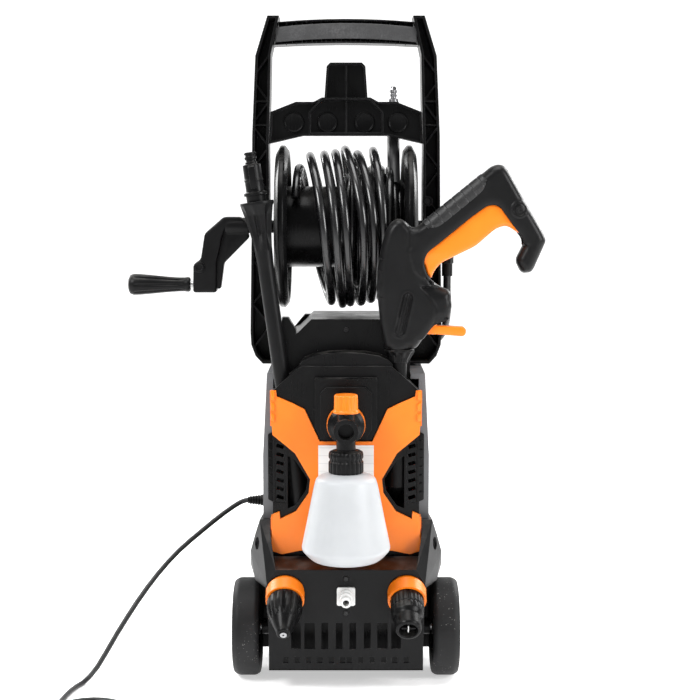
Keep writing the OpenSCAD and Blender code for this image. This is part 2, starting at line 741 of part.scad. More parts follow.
module crank_arm() {
  color(soft_black) translate([0, reel_y, reel_z]) difference() {
    union() {
      difference() {
        slab(-13, 13) polygon(crank_outline);
        slab(-10, 10) translate([5, -3]) offset(delta = -3) polygon(crank_outline);
      }
      translate([-crank_x0 - 34, 0, 0]) along_x() cylinder(r = 13, h = 34);
      slab(-12, 12) polygon([[-crank_x0 - 79, -crank_r - 11], [-crank_x0 - 50, -crank_r - 11],
        [-crank_x0 - 50, -crank_r + 11], [-crank_x0 - 78, -crank_r + 20]]);
      translate([-crank_x0 - 66, 0, -crank_r - 15]) cylinder(r = 5, h = 8);
    }
    translate([-crank_x0 - 31, 0, 0]) along_x() cylinder(r = shaft_r + 0.3, h = 40);
    translate([-crank_x0 - 90, 0, -crank_r]) along_x() cylinder(r = 5, h = 42);
    translate([-crank_x0 - 70, -10, -crank_r + 26]) along_front() cylinder(r = 2.2, h = 20, center = true);
    translate([-crank_x0 - 70, -13, -crank_r + 26]) along_front() cylinder(r = 4.4, h = 3, center = true);
  }
}

module crank_pins() {
  color(steel) {
    translate([-crank_x0 - 70, reel_y - 11.5, crank_z + 26]) along_front() screw(4, 6);
    translate([-knob_x1 + 6, reel_y, crank_z]) along_x()
      cylinder(r = 5, h = knob_x1 - 6 - crank_x0 - 49);
  }
}

module crank_knob() {
  color(soft_black) translate([-knob_x0, reel_y, crank_z]) rotate([0, -90, 0]) difference() {
    rotate_extrude()
      polygon([[0, 0], [9, 0], [10.5, 3], [10, 14], [11, 30], [13.5, 56], [15, 76], [14.8, grip_len - 6],
        [12, grip_len - 1], [8, grip_len], [0, grip_len]]);
    translate([0, 0, -1]) cylinder(r = 5 + pin_clear, h = grip_len - 4);
    for (k = [0:7]) rotate([0, 0, 45 * k]) translate([16.4, 0, 16])
      rotate([0, -4, 0]) cylinder(r = 2.8, h = 62);
  }
}

// -------------------------------------------------------- high-pressure hose
module hose_coil() {
  turns = 8;
  w = 2 * (flange_in_x - 26) / turns;
  color(soft_black) at_reel() rotate_extrude($fn = 72)
    union() {
      translate([drum_r + 0.5, -turns * w / 2 + 2])
        square([wound_r - hose_r - drum_r - 0.5, turns * w - 4]);
      for (k = [0:turns - 1])
        translate([wound_r - hose_r, (k + 0.5 - turns / 2) * w]) circle(r = min(hose_r, w / 2 - 0.1), $fn = 16);
    }
}

tail_x = 67;
tail_pts = [[tail_x, reel_y - 39.3, reel_z + 56.5], [tail_x, reel_y - 55, reel_z + 34],
  [tail_x - 1, reel_y - 67, reel_z + 10], [tail_x - 4, reel_y - 72, reel_z - 16],
  [tail_x - 8, reel_y - 68, reel_z - 42]];
sleeve_pts = [[tail_x, reel_y + 9, handle_top_z - 118], [tail_x, reel_y + 9, handle_top_z - 160],
  [tail_x, reel_y - 9, reel_z + 92], [tail_x, reel_y - 31.4, reel_z + 68],
  [tail_x, reel_y - 39, reel_z + 57]];

module hose_tail() {
  color(soft_black) sweep(route(tail_pts, 4), hose_r - 1.5, 12, [0.96, 0.2, 0.1]);
}

module hose_sleeve() {
  color(soft_black) difference() {
    sweep(route(sleeve_pts, 5), 9, 12, [0.96, 0.2, 0.1]);
    translate([tail_x, reel_y + 9, handle_top_z - 134]) cylinder(r = 4.05, h = 17);
  }
}

module hose_connector() {
  color(steel) translate([tail_x, reel_y + 9, handle_top_z - 133]) {
    cylinder(r = 4, h = 38);
    translate([0, 0, 15.4]) cylinder(r = 8, h = 5, $fn = 6);
    translate([0, 0, 24]) cylinder(r = plug_r, h = 11);
  }
}

// -------------------------------------------------------------- spray gun
gun_outline = [[52, 446], [46, 480], [41, 526], [42, 556], [47, 584], [53, 606], [60, 617],
  [69, 622], [78, 619], [84, 612], [92, 609], [100, 615], [192, 690], [200, 693], [208, 692],
  [214, 686], [238, 644], [263, 601], [266, 592], [250, 555], [246, 550], [236, 549],
  [232, 552], [225, 566], [236, 588], [234, 596], [226, 606], [214, 622], [204, 636],
  [196, 640], [186, 638], [165, 623], [126, 591], [108, 577], [103, 565], [106, 552], [112, 541],
  [126, 531], [140, 526], [141, 500], [138, 487], [118, 481], [108, 468], [93, 447]];
trigger_pivot = [96, 571];
latch_pivot = [104, 474];

// The gap in the gun's shells that the trigger swings in.
module trigger_room() {
  polygon([[88, 578], [88, 562], [98, 556], [106, 545], [116, 536], [170, 570], [245, 590],
    [236, 606], [216, 640], [206, 660], [186, 665], [158, 643], [116, 606], [100, 592]]);
}

module gun_half(y0, y1) {
  difference() {
    union() {
      slab(y0, y1) difference() {
        polygon(gun_outline);
        // Rubber grip's seat along the handle's back.
        polygon([[106, 616], [106, 629], [188, 694], [191, 685.5]]);
      }
    }
    slab(y0 - 1, y1 + 1) intersection() {
      offset(delta = -4) polygon(gun_outline);
      polygon([[54, 470], [54, 600], [88, 600], [100, 604], [190, 676], [200, 676], [200, 655],
        [110, 592], [94, 545], [108, 500], [100, 470]]);
    }
    slab(stow_y - 12.5, stow_y + 12.5) trigger_room();
    // The valve's seat, the hose socket and the latch's room.
    translate([gun_x, stow_y, 430]) cylinder(r = muzzle_r + 1, h = 60);
    translate([108, stow_y, 507]) along_x() cylinder(r = plug_r + 0.1, h = 60);
    span([96, stow_y - 9, 465], [160, stow_y + 9, 484]);
    translate([trigger_pivot[0], stow_y, trigger_pivot[1]]) along_front()
      cylinder(r = 2.5, h = 28, center = true);
    translate([latch_pivot[0], stow_y, latch_pivot[1]]) along_front()
      cylinder(r = 1.5, h = 22, center = true);
    translate([229, stow_y, 634]) along_front() cylinder(r = 3, h = gun_t + 2, center = true);
  }
}

module gun_shell_front() {
  color(black) difference() {
    union() {
      gun_half(stow_y - gun_t / 2, stow_y - 0.1);
      translate([229, stow_y - gun_t / 2, 634]) along_front() difference() {
        cylinder(r = 12, h = 2.5);
        cylinder(r = 9, h = 6, center = true);
      }
    }
    // Louvred recess and short notches on the body.
    for (k = [-1:1])
      translate([78 + 7 * k, stow_y - gun_t / 2, 493]) rotate([0, 24, 0])
        cube([4, 3, 54], center = true);
    for (k = [0:3])
      translate([41, stow_y - gun_t / 2, 576 - 20 * k]) cube([16, 3, 2], center = true);
  }
}

module gun_shell_back() {
  color(black) gun_half(stow_y + 0.1, stow_y + gun_t / 2);
}

module gun_rubber() {
  color(soft_black) slab(stow_y - gun_t / 2 + 2, stow_y + gun_t / 2 - 2)
    polygon([[106.6, 617], [106.6, 628], [110, 634], [184, 694], [189, 691.5], [190.4, 686]]);
}

module gun_trigger() {
  color(orange) difference() {
    union() {
      slab(stow_y - 12, stow_y + 12)
        polygon([[107, 548], [113, 541], [117, 552], [126, 563], [172, 585], [197, 607],
          [207, 611.5], [216, 611], [231, 601], [226, 611], [207, 638], [198, 642],
          [186, 641], [165, 626], [124, 592], [107, 580], [103, 565]]);
      slab(stow_y - 10, stow_y + 10)
        polygon([[108, 562], [100, 562], [92, 566], [90, 572], [93, 578], [112, 584]]);
    }
    translate([trigger_pivot[0], stow_y, trigger_pivot[1]]) along_front()
      cylinder(r = 2.5 + pin_clear, h = 40, center = true);
  }
}

module gun_latch() {
  color(orange) difference() {
    union() {
      span([latch_pivot[0], stow_y - 8, 470], [156, stow_y + 8, 477]);
      span([154, stow_y - 8, 466], [159, stow_y + 8, 477]);
      translate([latch_pivot[0], stow_y, latch_pivot[1]]) along_front()
        cylinder(r = 4.5, h = 16, center = true);
    }
    translate([latch_pivot[0], stow_y, latch_pivot[1]]) along_front()
      cylinder(r = 1.5 + pin_clear, h = 20, center = true);
  }
}

module gun_valve() {
  color(steel) {
    translate([gun_x, stow_y, 0]) difference() {
      union() {
        translate([0, 0, 452]) cylinder(r = muzzle_r + 0.5, h = 36);
        translate([0, 0, 430]) cylinder(r = muzzle_r + 2, h = 15.8);
        translate([0, 0, 423]) cylinder(r = muzzle_r, h = 30);
        translate([0, 0, 330]) cylinder(r = muzzle_r, h = 94);
      }
      translate([0, 0, 329]) cylinder(r = 7, h = 60);
      translate([0, 0, 329]) cylinder(r = 2.5, h = 160);
      for (k = [0:9]) rotate([0, 0, 36 * k]) translate([muzzle_r + 2.4, 0, 438]) cube([2, 2, 24], center = true);
    }
    // Pins the trigger and the latch turn on.
    translate([trigger_pivot[0], stow_y, trigger_pivot[1]]) along_front()
      cylinder(r = 2.5, h = 28, center = true);
    translate([latch_pivot[0], stow_y, latch_pivot[1]]) along_front()
      cylinder(r = 1.5, h = 22, center = true);
  }
}

// ----------------------------------------------------------------- lance
module lance_tube() {
  color(black) on_lance() difference() {
    union() {
      translate([0, 0, -lance_down]) cylinder(r = lance_r, h = lance_down + lance_up + 2);
      translate([0, 0, lance_up]) cylinder(r1 = lance_r + 0.5, r2 = 22.3, h = 66);
    }
    translate([0, 0, lance_up + 60]) cylinder(r = 18, h = 10);
    translate([0, 0, -lance_down - 1]) cylinder(r = 6, h = 30);
    translate([0, 0, -lance_down - 1]) cylinder(r = 3.5, h = lance_down + lance_up + 100);
    for (k = [0:7]) rotate([0, 0, 45 * k + 10]) translate([23, 0, lance_up + 36])
      rotate([0, 9, 0]) cylinder(r = 3, h = 60, center = true);
  }
}

module lance_fitting() {
  z = lance_up;
  color(soft_black) on_lance() difference() {
    union() {
      translate([0, 0, z + 60.2]) cylinder(r = 13, h = 18);
      translate([0, 0, z + 76]) cylinder(r = 15.5, h = 4.5);
      translate([0, 0, z + 80]) cylinder(r = 12, h = 36);
      translate([0, 0, z + 98]) for (a = [0, 90]) rotate([0, 0, a])
        cube([31, 9, 30], center = true);
      translate([0, 0, z + 114]) cylinder(r = 8, h = 18);
    }
    translate([0, 0, z + 60]) cylinder(r = 3.5, h = 90);
    translate([0, 0, z + 116]) cylinder(r = 5, h = 30);
  }
}

// --------------------------------------------------- foam lance and bottle
module foam_body() {
  y0 = boss_y - 1.2;
  color(black) difference() {
    union() {
      translate([0, 0, foam_z]) along_front() rotate_extrude()
        polygon([[0, -y0], [21.6, -y0], [21.6, -y0 + 15], [24.4, -y0 + 16], [24.4, -y0 + 21],
          [20, -y0 + 24], [14, -y0 + 30], [14, 176], [15.8, 180], [15.8, 190], [0, 190]]);
      translate([0, bottle_y, cap_top - 3]) cylinder(r = 12.5, h = foam_z - cap_top + 4);
      translate([0, bottle_y + 5, foam_z + 8]) cylinder(r = 11, h = 12);
      translate([0, bottle_y + 5, foam_z + 8]) cylinder(r = 5, h = 30);
      span([-1.6, -182, foam_z + 12], [1.6, -150, foam_z + 20]);
      translate([0, bottle_y, cap_bot - 104]) cylinder(r = 3, h = 134);
    }
    translate([0, 0, foam_z]) along_front() translate([0, 0, -boss_y]) cylinder(r = 8.5, h = 15.5);
    translate([0, -175, foam_z]) along_front() cylinder(r = 10.4, h = 20);
    translate([0, bottle_y, cap_bot - 106]) cylinder(r = 1.8, h = 150);
  }
}

module foam_knob() {
  color(orange) translate([0, bottle_y + 5, foam_z + 20.4]) difference() {
    union() {
      cylinder(r = 17, h = 3.5);
      cylinder(r = 15.4, h = 24);
    }
    translate([0, 0, -1]) cylinder(r = 5 + pin_clear, h = 20);
    translate([0, 0, 22]) cylinder(r = 2.5, h = 5);
    for (k = [0:15]) rotate([0, 0, 22.5 * k]) translate([16.4, 0, 4]) cylinder(r = 1.5, h = 30, $fn = 16);
  }
}

module foam_cap() {
  color(black) translate([0, bottle_y, cap_bot]) difference() {
    rotate_extrude()
      polygon([[0, 0], [22.6, 0], [22.6, 15], [21, 17.5], [22.8, 20], [22.4, 27], [16, 30], [0, 30]]);
    translate([0, 0, -1]) cylinder(r = 19.6, h = 25);
    cylinder(r = 13, h = 80, center = true);
    for (k = [0:11]) rotate([0, 0, 30 * k + 15]) translate([23.6, 0, 7]) cylinder(r = 1.8, h = 14, center = true);
  }
}

module foam_bottle() {
  s = bottle_r / 57.5;
  color(white) translate([0, bottle_y, 0]) rotate_extrude($fn = 64)
    polygon([[14, cap_bot + 18], [19, cap_bot + 18], [19, cap_bot - 2], [34 * s, cap_bot - 5],
      [39 * s, cap_bot - 10], [42 * s, cap_bot - 20], [50 * s, cap_bot - 60], [bottle_r, cap_bot - 97],
      [bottle_r - 0.5, cap_bot - 101], [45 * s, cap_bot - 113], [38 * s, cap_bot - 116],
      [0, cap_bot - 116], [0, cap_bot - 114], [37 * s, cap_bot - 114], [43.5 * s, cap_bot - 111],
      [bottle_r - 2.2, cap_bot - 99.5], [48 * s, cap_bot - 60], [40 * s, cap_bot - 20],
      [37 * s, cap_bot - 11], [33 * s, cap_bot - 7], [14, cap_bot - 4]]);
}

// --------------------------------------------------------- stored nozzles
module turbo_nozzle() {
  color(black) at_nozzle(-1) difference() {
    rotate_extrude()
      polygon([[0, -27], [10.5, -27], [10.5, -9], [19.5, -6], [20.5, 7], [turbo_r, 12],
        [turbo_r, 22], [20, 38], [12.5, 56], [8.5, 66], [7.4, 68], [0, 68]]);
    translate([0, 0, -28]) cylinder(r = 7.8, h = 21);
    translate([0, 0, 60]) cylinder(r = 4.6, h = 10);
    translate([0, 0, -8]) cylinder(r = 2, h = 80);
    for (k = [0:9]) rotate([0, 0, 36 * k]) translate([turbo_r, 0, 22])
      rotate([0, -9, 0]) cube([5, 4.5, 22], center = true);
  }
}

module turbo_tip() {
  color(steel) at_nozzle(-1) difference() {
    translate([0, 0, 60.2]) cylinder(r = 4.5, h = 9);
    translate([0, 0, 59]) cylinder(r = 1.2, h = 12);
  }
}

module vario_nozzle() {
  color(black) at_nozzle(1) difference() {
    rotate_extrude()
      polygon([[0, -27], [10.5, -27], [10.5, -9], [19.5, -6], [20.5, 7], [22, 12], [21.5, 34],
        [18, 40], [17, 60], [15.6, 62], [0, 62]]);
    translate([0, 0, -28]) cylinder(r = 7.8, h = 21);
    translate([0, 0, 50]) cylinder(r = 9, h = 20);
    for (k = [0:11]) rotate([0, 0, 30 * k]) translate([22.6, 0, 23]) cube([3, 2.6, 20], center = true);
  }
}

module vario_insert() {
  color(white) at_nozzle(1) difference() {
    union() {
      translate([0, 0, 50.3]) cylinder(r = 8.6, h = 8);
      translate([0, 0, 57]) cube([5, 14, 6], center = true);
    }
    translate([0, 0, 58]) cube([1, 10, 10], center = true);
  }
}

// ------------------------------------------------------ electrics and cord
module switch_knob() {
  color(orange) translate([0, tower_back_y + 14.5, 390]) rotate([-90, 0, 0]) {
    translate([0, 0, -8]) cylinder(r = 8, h = 9);
    cylinder(r = 19, h = 5);
    difference() {
      cylinder(r = 16, h = 18);
      for (s = [-1, 1]) translate([s * 13, 0, 13]) cube([14, 34, 14], center = true);
    }
  }
}

gland = [-side_half_w, 20, 222];

module cable_gland() {
  color(black) translate(gland) rotate([0, -90, 0]) difference() {
    union() {
      linear_extrude(4) scale([1, 0.8]) circle(r = 12.5);
      cylinder(r1 = 8, r2 = 5.4, h = 26);
      translate([0, 0, -8]) cylinder(r = cord_r + 0.4, h = 9);
    }
    translate([0, 0, -9]) cylinder(r = cord_r, h = 50);
  }
}

cord_pts = [gland + [-26, 0, 0], [-150, 19, 219], [-172, 8, 206], [-200, -10, 186], [-232, -30, 161],
  [-260, -48, 132], [-286, -66, 98], [-312, -84, 58], [-336, -104, 18], [-352, -128, cord_r],
  [-362, -160, cord_r], [-367, -200, cord_r], [-368, -235, cord_r], [-366, -265, cord_r],
  [-357, -293, cord_r]];
coil_c = [-312, -330, 0];

module power_cord() {
  color(black) sweep(route(cord_pts, 5), cord_r, 8, [0.2, 0.5, 0.84]);
}

module cord_coil() {
  color(black) translate(coil_c) rotate_extrude($fn = 36)
    translate([26, 0]) square([27, 27]);
}

module plug() {
  color(black) translate(coil_c + [-2, -78, 14]) difference() {
    union() {
      along_x() cylinder(r = 13, h = 36, center = true);
      translate([18, 0, 0]) along_x() cylinder(r1 = 13, r2 = 6, h = 20);
      for (s = [-1, 1])
        translate([-18, s * 9.5, 0]) rotate([0, -90, 0]) cylinder(r = 2.4, h = 19);
    }
  }
}

// ------------------------------------------------------------- inside
module motor_shroud() {
  color([0.72, 0.1, 0.08]) difference() {
    slab(-44, 92) polygon([[-96, 236], [96, 236], [96, 334], [-96, 334]]);
    slab(-42, 90) polygon([[-94, 238], [94, 238], [94, 332], [-94, 332]]);
    translate([0, motor_y, 200]) cylinder(r = 58.4, h = 200);
  }
}

module motor() {
  color(steel) translate([0, motor_y, 220]) difference() {
    cylinder(r = 58, h = 180);
    translate([0, 0, 8]) cylinder(r = 42, h = 164);
    translate([0, 0, -1]) cylinder(r = 6 + pin_clear, h = 182);
  }
}

module rotor() {
  color(steel) translate([0, motor_y, 206]) {
    cylinder(r = 6, h = 190);
    translate([0, 0, 34]) cylinder(r = 39, h = 120);
    translate([0, 0, 162]) cylinder(r = 36, h = 8);
  }
}

module pump() {
  color(steel) difference() {
    union() {
      translate([0, motor_y, 110]) cylinder(r = 44, h = 109.6);
      span([-36, -14, 17.2], [36, 60, 111]);
      translate([0, -13, nozzle_z]) along_front() cylinder(r = 12, h = 96.6);
    }
    translate([0, motor_y, 204]) cylinder(r = 6 + pin_clear, h = 20);
  }
}

base_chassis();
base_cowl();
front_cover();
top_cover();
side_panel_left();
side_panel_right();
rear_cover();
rear_trim();
front_trim();
louvres();
holder_rings();
label_plate();
water_inlet();
body_screws();
axle();
axle_clips();
wheel_left();
wheel_right();
post_left();
post_right();
grip_bar();
grip_band();
cross_panel();
reel_drum();
flange_left();
flange_right();
swivel_elbow();
feed_hose();
crank_arm();
crank_pins();
crank_knob();
hose_coil();
hose_tail();
hose_sleeve();
hose_connector();
gun_shell_front();
gun_shell_back();
gun_rubber();
gun_trigger();
gun_latch();
gun_valve();
lance_tube();
lance_fitting();
foam_body();
foam_knob();
foam_cap();
foam_bottle();
turbo_nozzle();
turbo_tip();
vario_nozzle();
vario_insert();
switch_knob();
cable_gland();
power_cord();
cord_coil();
plug();
motor_shroud();
motor();
rotor();
pump();
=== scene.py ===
"""Looks of an upright pressure washer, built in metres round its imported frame."""

from __future__ import annotations

import json  # noqa: E402
import logging  # noqa: E402
import math  # noqa: E402
from dataclasses import dataclass, field  # noqa: E402
from enum import Enum  # noqa: E402
from typing import Sequence  # noqa: E402

import bmesh  # noqa: E402
import bpy  # noqa: E402
import numpy as np  # noqa: E402
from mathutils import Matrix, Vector  # noqa: E402
from mathutils.geometry import delaunay_2d_cdt  # noqa: E402

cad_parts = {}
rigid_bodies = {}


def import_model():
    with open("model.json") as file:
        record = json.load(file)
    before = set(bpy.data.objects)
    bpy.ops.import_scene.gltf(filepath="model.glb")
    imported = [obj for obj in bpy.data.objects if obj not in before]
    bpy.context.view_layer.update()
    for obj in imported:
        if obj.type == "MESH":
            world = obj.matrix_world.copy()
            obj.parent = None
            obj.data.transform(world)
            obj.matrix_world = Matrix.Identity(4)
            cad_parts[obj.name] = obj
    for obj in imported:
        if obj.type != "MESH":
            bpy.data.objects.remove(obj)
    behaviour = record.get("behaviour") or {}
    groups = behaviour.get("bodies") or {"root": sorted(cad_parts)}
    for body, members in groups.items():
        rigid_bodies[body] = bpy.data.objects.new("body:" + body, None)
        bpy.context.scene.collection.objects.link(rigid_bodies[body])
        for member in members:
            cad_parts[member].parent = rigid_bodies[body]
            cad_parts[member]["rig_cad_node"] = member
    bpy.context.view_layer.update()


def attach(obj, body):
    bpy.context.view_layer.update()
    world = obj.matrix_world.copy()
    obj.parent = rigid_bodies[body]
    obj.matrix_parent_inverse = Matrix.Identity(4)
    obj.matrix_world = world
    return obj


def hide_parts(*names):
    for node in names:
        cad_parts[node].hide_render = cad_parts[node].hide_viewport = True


MM = 0.001
LOG = logging.getLogger("washer")
SPAN = 60.0  # half size of the floor, in metres
# How a grid of points is closed: whether its rows wrap, its columns wrap, its ends are filled.
CAPPED = (False, True, True)
LOOPED = (True, True, False)
POLED = (False, True, False)
Colour = tuple[float, float, float]
Points = np.ndarray
Grid = tuple[np.ndarray, bool, bool, bool]


# --------------------------------------------------------------- shader graph
class Value:
    """A socket of a material's graph; arithmetic on it adds Math nodes."""

    def __init__(self, graph: "Graph", source: bpy.types.NodeSocket) -> None:
        """Keeps the graph and the socket."""
        self.graph = graph
        self.source = source

    def _math(self, operation: str, *others: "Value | float", swap: bool = False) -> "Value":
        """Adds one Math node.

        Args:
            operation: The Math node's operation.
            others: The further operands.
            swap: Whether the first operand comes after the second.

        Returns:
            The node's result.
        """
        terms: list[Value | float] = [self, *others]
        if swap:
            terms[0], terms[1] = terms[1], terms[0]
        return self.graph.add(
            "ShaderNodeMath", {"operation": operation}, dict(enumerate(terms))
        )

    def __add__(self, other: "Value | float") -> "Value":
        """Sum."""
        return self._math("ADD", other)

    __radd__ = __add__

    def __sub__(self, other: "Value | float") -> "Value":
        """Difference."""
        return self._math("SUBTRACT", other)

    def __rsub__(self, other: float) -> "Value":
        """Difference from a number."""
        return self._math("SUBTRACT", other, swap=True)

    def __mul__(self, other: "Value | float") -> "Value":
        """Product."""
        return self._math("MULTIPLY", other)

    __rmul__ = __mul__

    def __truediv__(self, other: "Value | float") -> "Value":
        """Quotient."""
        return self._math("DIVIDE", other)

    def __rtruediv__(self, other: float) -> "Value":
        """A number divided by this."""
        return self._math("DIVIDE", other, swap=True)

    def __pow__(self, other: "Value | float") -> "Value":
        """Power."""
        return self._math("POWER", other)

    def sine(self) -> "Value":
        """Sine of an angle in radians."""
        return self._math("SINE")

    def step(self, low: float, high: float) -> "Value":
        """A smooth rise from 0 at low to 1 at high.

        Args:
            low: Where it leaves 0.
            high: Where it reaches 1.

        Returns:
            The rise.
        """
        return self.graph.add(
            "ShaderNodeMapRange",
            {"interpolation_type": "SMOOTHSTEP", "clamp": True},
            {"Value": self, "From Min": low, "From Max": high},
        )


class Graph:
    """The node graph of one material."""

    def __init__(self, name: str) -> None:
        """Makes an empty material with a Principled shader.

        Args:
            name: The material's name.
        """
        self.material = bpy.data.materials.new(name)
        self.material.use_nodes = True
        self.tree = self.material.node_tree
        self.tree.nodes.clear()
        self.out = self.tree.nodes.new("ShaderNodeOutputMaterial")
        self.shader = self.tree.nodes.new("ShaderNodeBsdfPrincipled")
        self.tree.links.new(self.shader.outputs[0], self.out.inputs[0])

    def add(
        self,
        kind: str,
        settings: dict[str, object] | None = None,
        inputs: dict[object, object] | None = None,
        result: int | str = 0,
    ) -> Value:
        """Adds a node of any type.

        Args:
            kind: The node's type.
            settings: Properties set before its sockets; "stops" fills a ramp.
            inputs: Values or links, by socket name or number.
            result: The output socket to return.

        Returns:
            That output.
        """
        node = self.tree.nodes.new(kind)
        for key, value in (settings or {}).items():
            if key == "stops":
                self._stops(node.color_ramp, value)
            else:
                setattr(node, key, value)
        for key, value in (inputs or {}).items():
            self.feed(node.inputs[key], value)
        return Value(self, node.outputs[result])

    @staticmethod
    def _stops(ramp: bpy.types.ColorRamp, stops: Sequence[tuple[float, Colour]]) -> None:
        """Fills a colour ramp with its stops.

        Args:
            ramp: The ramp to fill.
            stops: Place and colour pairs.
        """
        while len(ramp.elements) < len(stops):
            ramp.elements.new(0.5)
        for element, (place, colour) in zip(ramp.elements, stops):
            element.position = place
            element.color = (*colour, 1.0)

    def feed(self, socket: bpy.types.NodeSocket, value: object) -> None:
        """Links or sets one input socket.

        Args:
            socket: The input.
            value: A Value to link, or a constant.
        """
        if isinstance(value, Value):
            self.tree.links.new(value.source, socket)
        elif isinstance(value, tuple) and len(value) == 3 and len(socket.default_value) == 4:
            socket.default_value = (*value, 1.0)
        else:
            socket.default_value = value

    def place(self) -> Value:
        """Object coordinates, in metres."""
        return self.add("ShaderNodeTexCoord", result="Object")

    def stretched(self, x: float, y: float, z: float) -> Value:
        """Object coordinates scaled along each axis.

        Args:
            x: Scale along X.
            y: Scale along Y.
            z: Scale along Z.

        Returns:
            The scaled coordinates.
        """
        return self.add(
            "ShaderNodeMapping", None, {"Vector": self.place(), "Scale": (x, y, z)}
        )

    def noise(self, scale: float, detail: float = 3.0, at: Value | None = None) -> Value:
        """Noise from 0 to 1 at so many cells to the metre.

        Args:
            scale: Cells to the metre.
            detail: Octaves.
            at: Coordinates, or None for the object's.

        Returns:
            The noise.
        """
        return self.add(
            "ShaderNodeTexNoise",
            None,
            {"Vector": at or self.place(), "Scale": scale, "Detail": detail},
            "Fac",
        )

    def blend(self, share: Value | float, a: object, b: object) -> Value:
        """Colour a where share is 0 and b where it is 1.

        Args:
            share: How much of b shows.
            a: The first colour.
            b: The second colour.

        Returns:
            The mixed colour.
        """
        return self.add(
            "ShaderNodeMix", {"data_type": "RGBA"}, {0: share, 6: a, 7: b}, 2
        )

    def part(self, vector: Value, axis: int) -> Value:
        """One coordinate of a vector."""
        return self.add("ShaderNodeSeparateXYZ", None, {0: vector}, axis)

    def rounded(self, radius: float) -> tuple[Value, Value]:
        """Normals rounded over edges, and how far an edge turns them.

        Args:
            radius: The edge's radius in metres.

        Returns:
            The rounded normal, and a mask that is 1 on sharp edges.
        """
        soft = self.add("ShaderNodeBevel", {"samples": 4}, {"Radius": radius})
        hard = self.add("ShaderNodeNewGeometry", result="Normal")
        likeness = self.add(
            "ShaderNodeVectorMath", {"operation": "DOT_PRODUCT"}, {0: soft, 1: hard}, "Value"
        )
        return soft, (1.0 - likeness).step(0.02, 0.3)

    def bump(self, height: Value, depth: float, strength: float, normal: Value | None) -> Value:
        """Bump from a height field, on top of a normal.

        Args:
            height: The height field.
            depth: Its full height in metres.
            strength: How strongly it shows.
            normal: The normal under it, or None.

        Returns:
            The new normal.
        """
        inputs: dict[object, object] = {"Height": height, "Distance": depth, "Strength": strength}
        if normal is not None:
            inputs["Normal"] = normal
        return self.add("ShaderNodeBump", None, inputs)

    def surface(self, **sockets: object) -> None:
        """Feeds the Principled shader's sockets, with _ for a space in a name."""
        for key, value in sockets.items():
            self.feed(self.shader.inputs[key.replace("_", " ")], value)


@dataclass(frozen=True)
class Finish:
    """What every finish can say: its material, and the record's slot."""

    name: str
    slot: str

    def material(self) -> bpy.types.Material:
        """The finish's material, made once and shared.

        Returns:
            The material.
        """
        found = bpy.data.materials.get(self.name)
        if found is not None:
            return found
        graph = Graph(self.name)
        self.paint(graph)
        return graph.material

    def paint(self, graph: Graph) -> None:
        """Fills the graph; each finish has its own."""
        raise NotImplementedError


@dataclass(frozen=True)
class Moulded(Finish):
    """Injection-moulded plastic: fine grain, flow marks, paler edges that are partly abrasion and
    partly a painted highlight, settled dust.
    """

    colour: Colour = (0.02, 0.02, 0.021)
    roughness: float = 0.42
    grain: float = 0.7
    grain_depth: float = 0.25
    edge: float = 0.9
    # colour of the paler edges: partly abrasion, partly a painted highlight
    abrasion_and_highlight: Colour = (0.11, 0.11, 0.113)
    dust: float = 0.12
    shine: float = 0.4

    def paint(self, graph: Graph) -> None:
        """Grain in the bump, marks in the roughness, dust and paler edges in the colour; the paler
        edges are partly abrasion and partly a painted highlight.

        Args:
            graph: The material's graph.
        """
        soft, edge = graph.rounded(self.edge * MM)
        grain = graph.noise(1.0 / (self.grain * MM), 2.0)
        cloud = graph.noise(38.0, 4.0)
        streak = graph.noise(1.0, 5.0, graph.stretched(900.0, 900.0, 24.0))
        facing = graph.add("ShaderNodeNewGeometry", result="Normal")
        up = graph.part(facing, 2).step(0.35, 1.0)
        dust = up * cloud.step(0.38, 0.72) * self.dust
        # edge mask that paints edges paler: partly abrasion, partly a painted highlight
        abrasion_and_highlight_mask = edge * cloud.step(0.3, 0.75) * 0.55
        tone = graph.blend(
            cloud.step(0.3, 0.8) * 0.35, self.colour, tuple(1.25 * c + 0.004 for c in self.colour)
        )
        tone = graph.blend(abrasion_and_highlight_mask, tone, self.abrasion_and_highlight)
        tone = graph.blend(dust, tone, (0.42, 0.4, 0.37))
        rough = self.roughness + (cloud - 0.5) * 0.16 + (streak - 0.5) * 0.14 + dust * 0.5
        graph.surface(
            Base_Color=tone,
            Roughness=rough + abrasion_and_highlight_mask * 0.1,
            Normal=graph.bump(grain, 0.00012, self.grain_depth, soft),
            Specular_IOR_Level=self.shine,
        )


@dataclass(frozen=True)
class Glossy(Finish):
    """Polished hose skin or smooth rubber: gloss with faint scuffs."""

    colour: Colour = (0.012, 0.012, 0.013)
    roughness: float = 0.22
    scuff: float = 0.25
    coat: float = 0.0

    def paint(self, graph: Graph) -> None:
        """Scuffs raise the roughness and lighten the colour a little.

        Args:
            graph: The material's graph.
        """
        fine = graph.noise(700.0, 3.0)
        broad = graph.noise(28.0, 4.0)
        scuff = fine.step(0.52, 0.7) * broad.step(0.45, 0.7)
        graph.surface(
            Base_Color=graph.blend(
                scuff * self.scuff, self.colour, tuple(3.0 * c + 0.02 for c in self.colour)
            ),
            Roughness=self.roughness + broad * 0.12 + scuff * 0.25,
            Normal=graph.bump(fine, 0.00006, 0.25, None),
            Coat_Weight=self.coat,
            Coat_Roughness=0.08,
        )


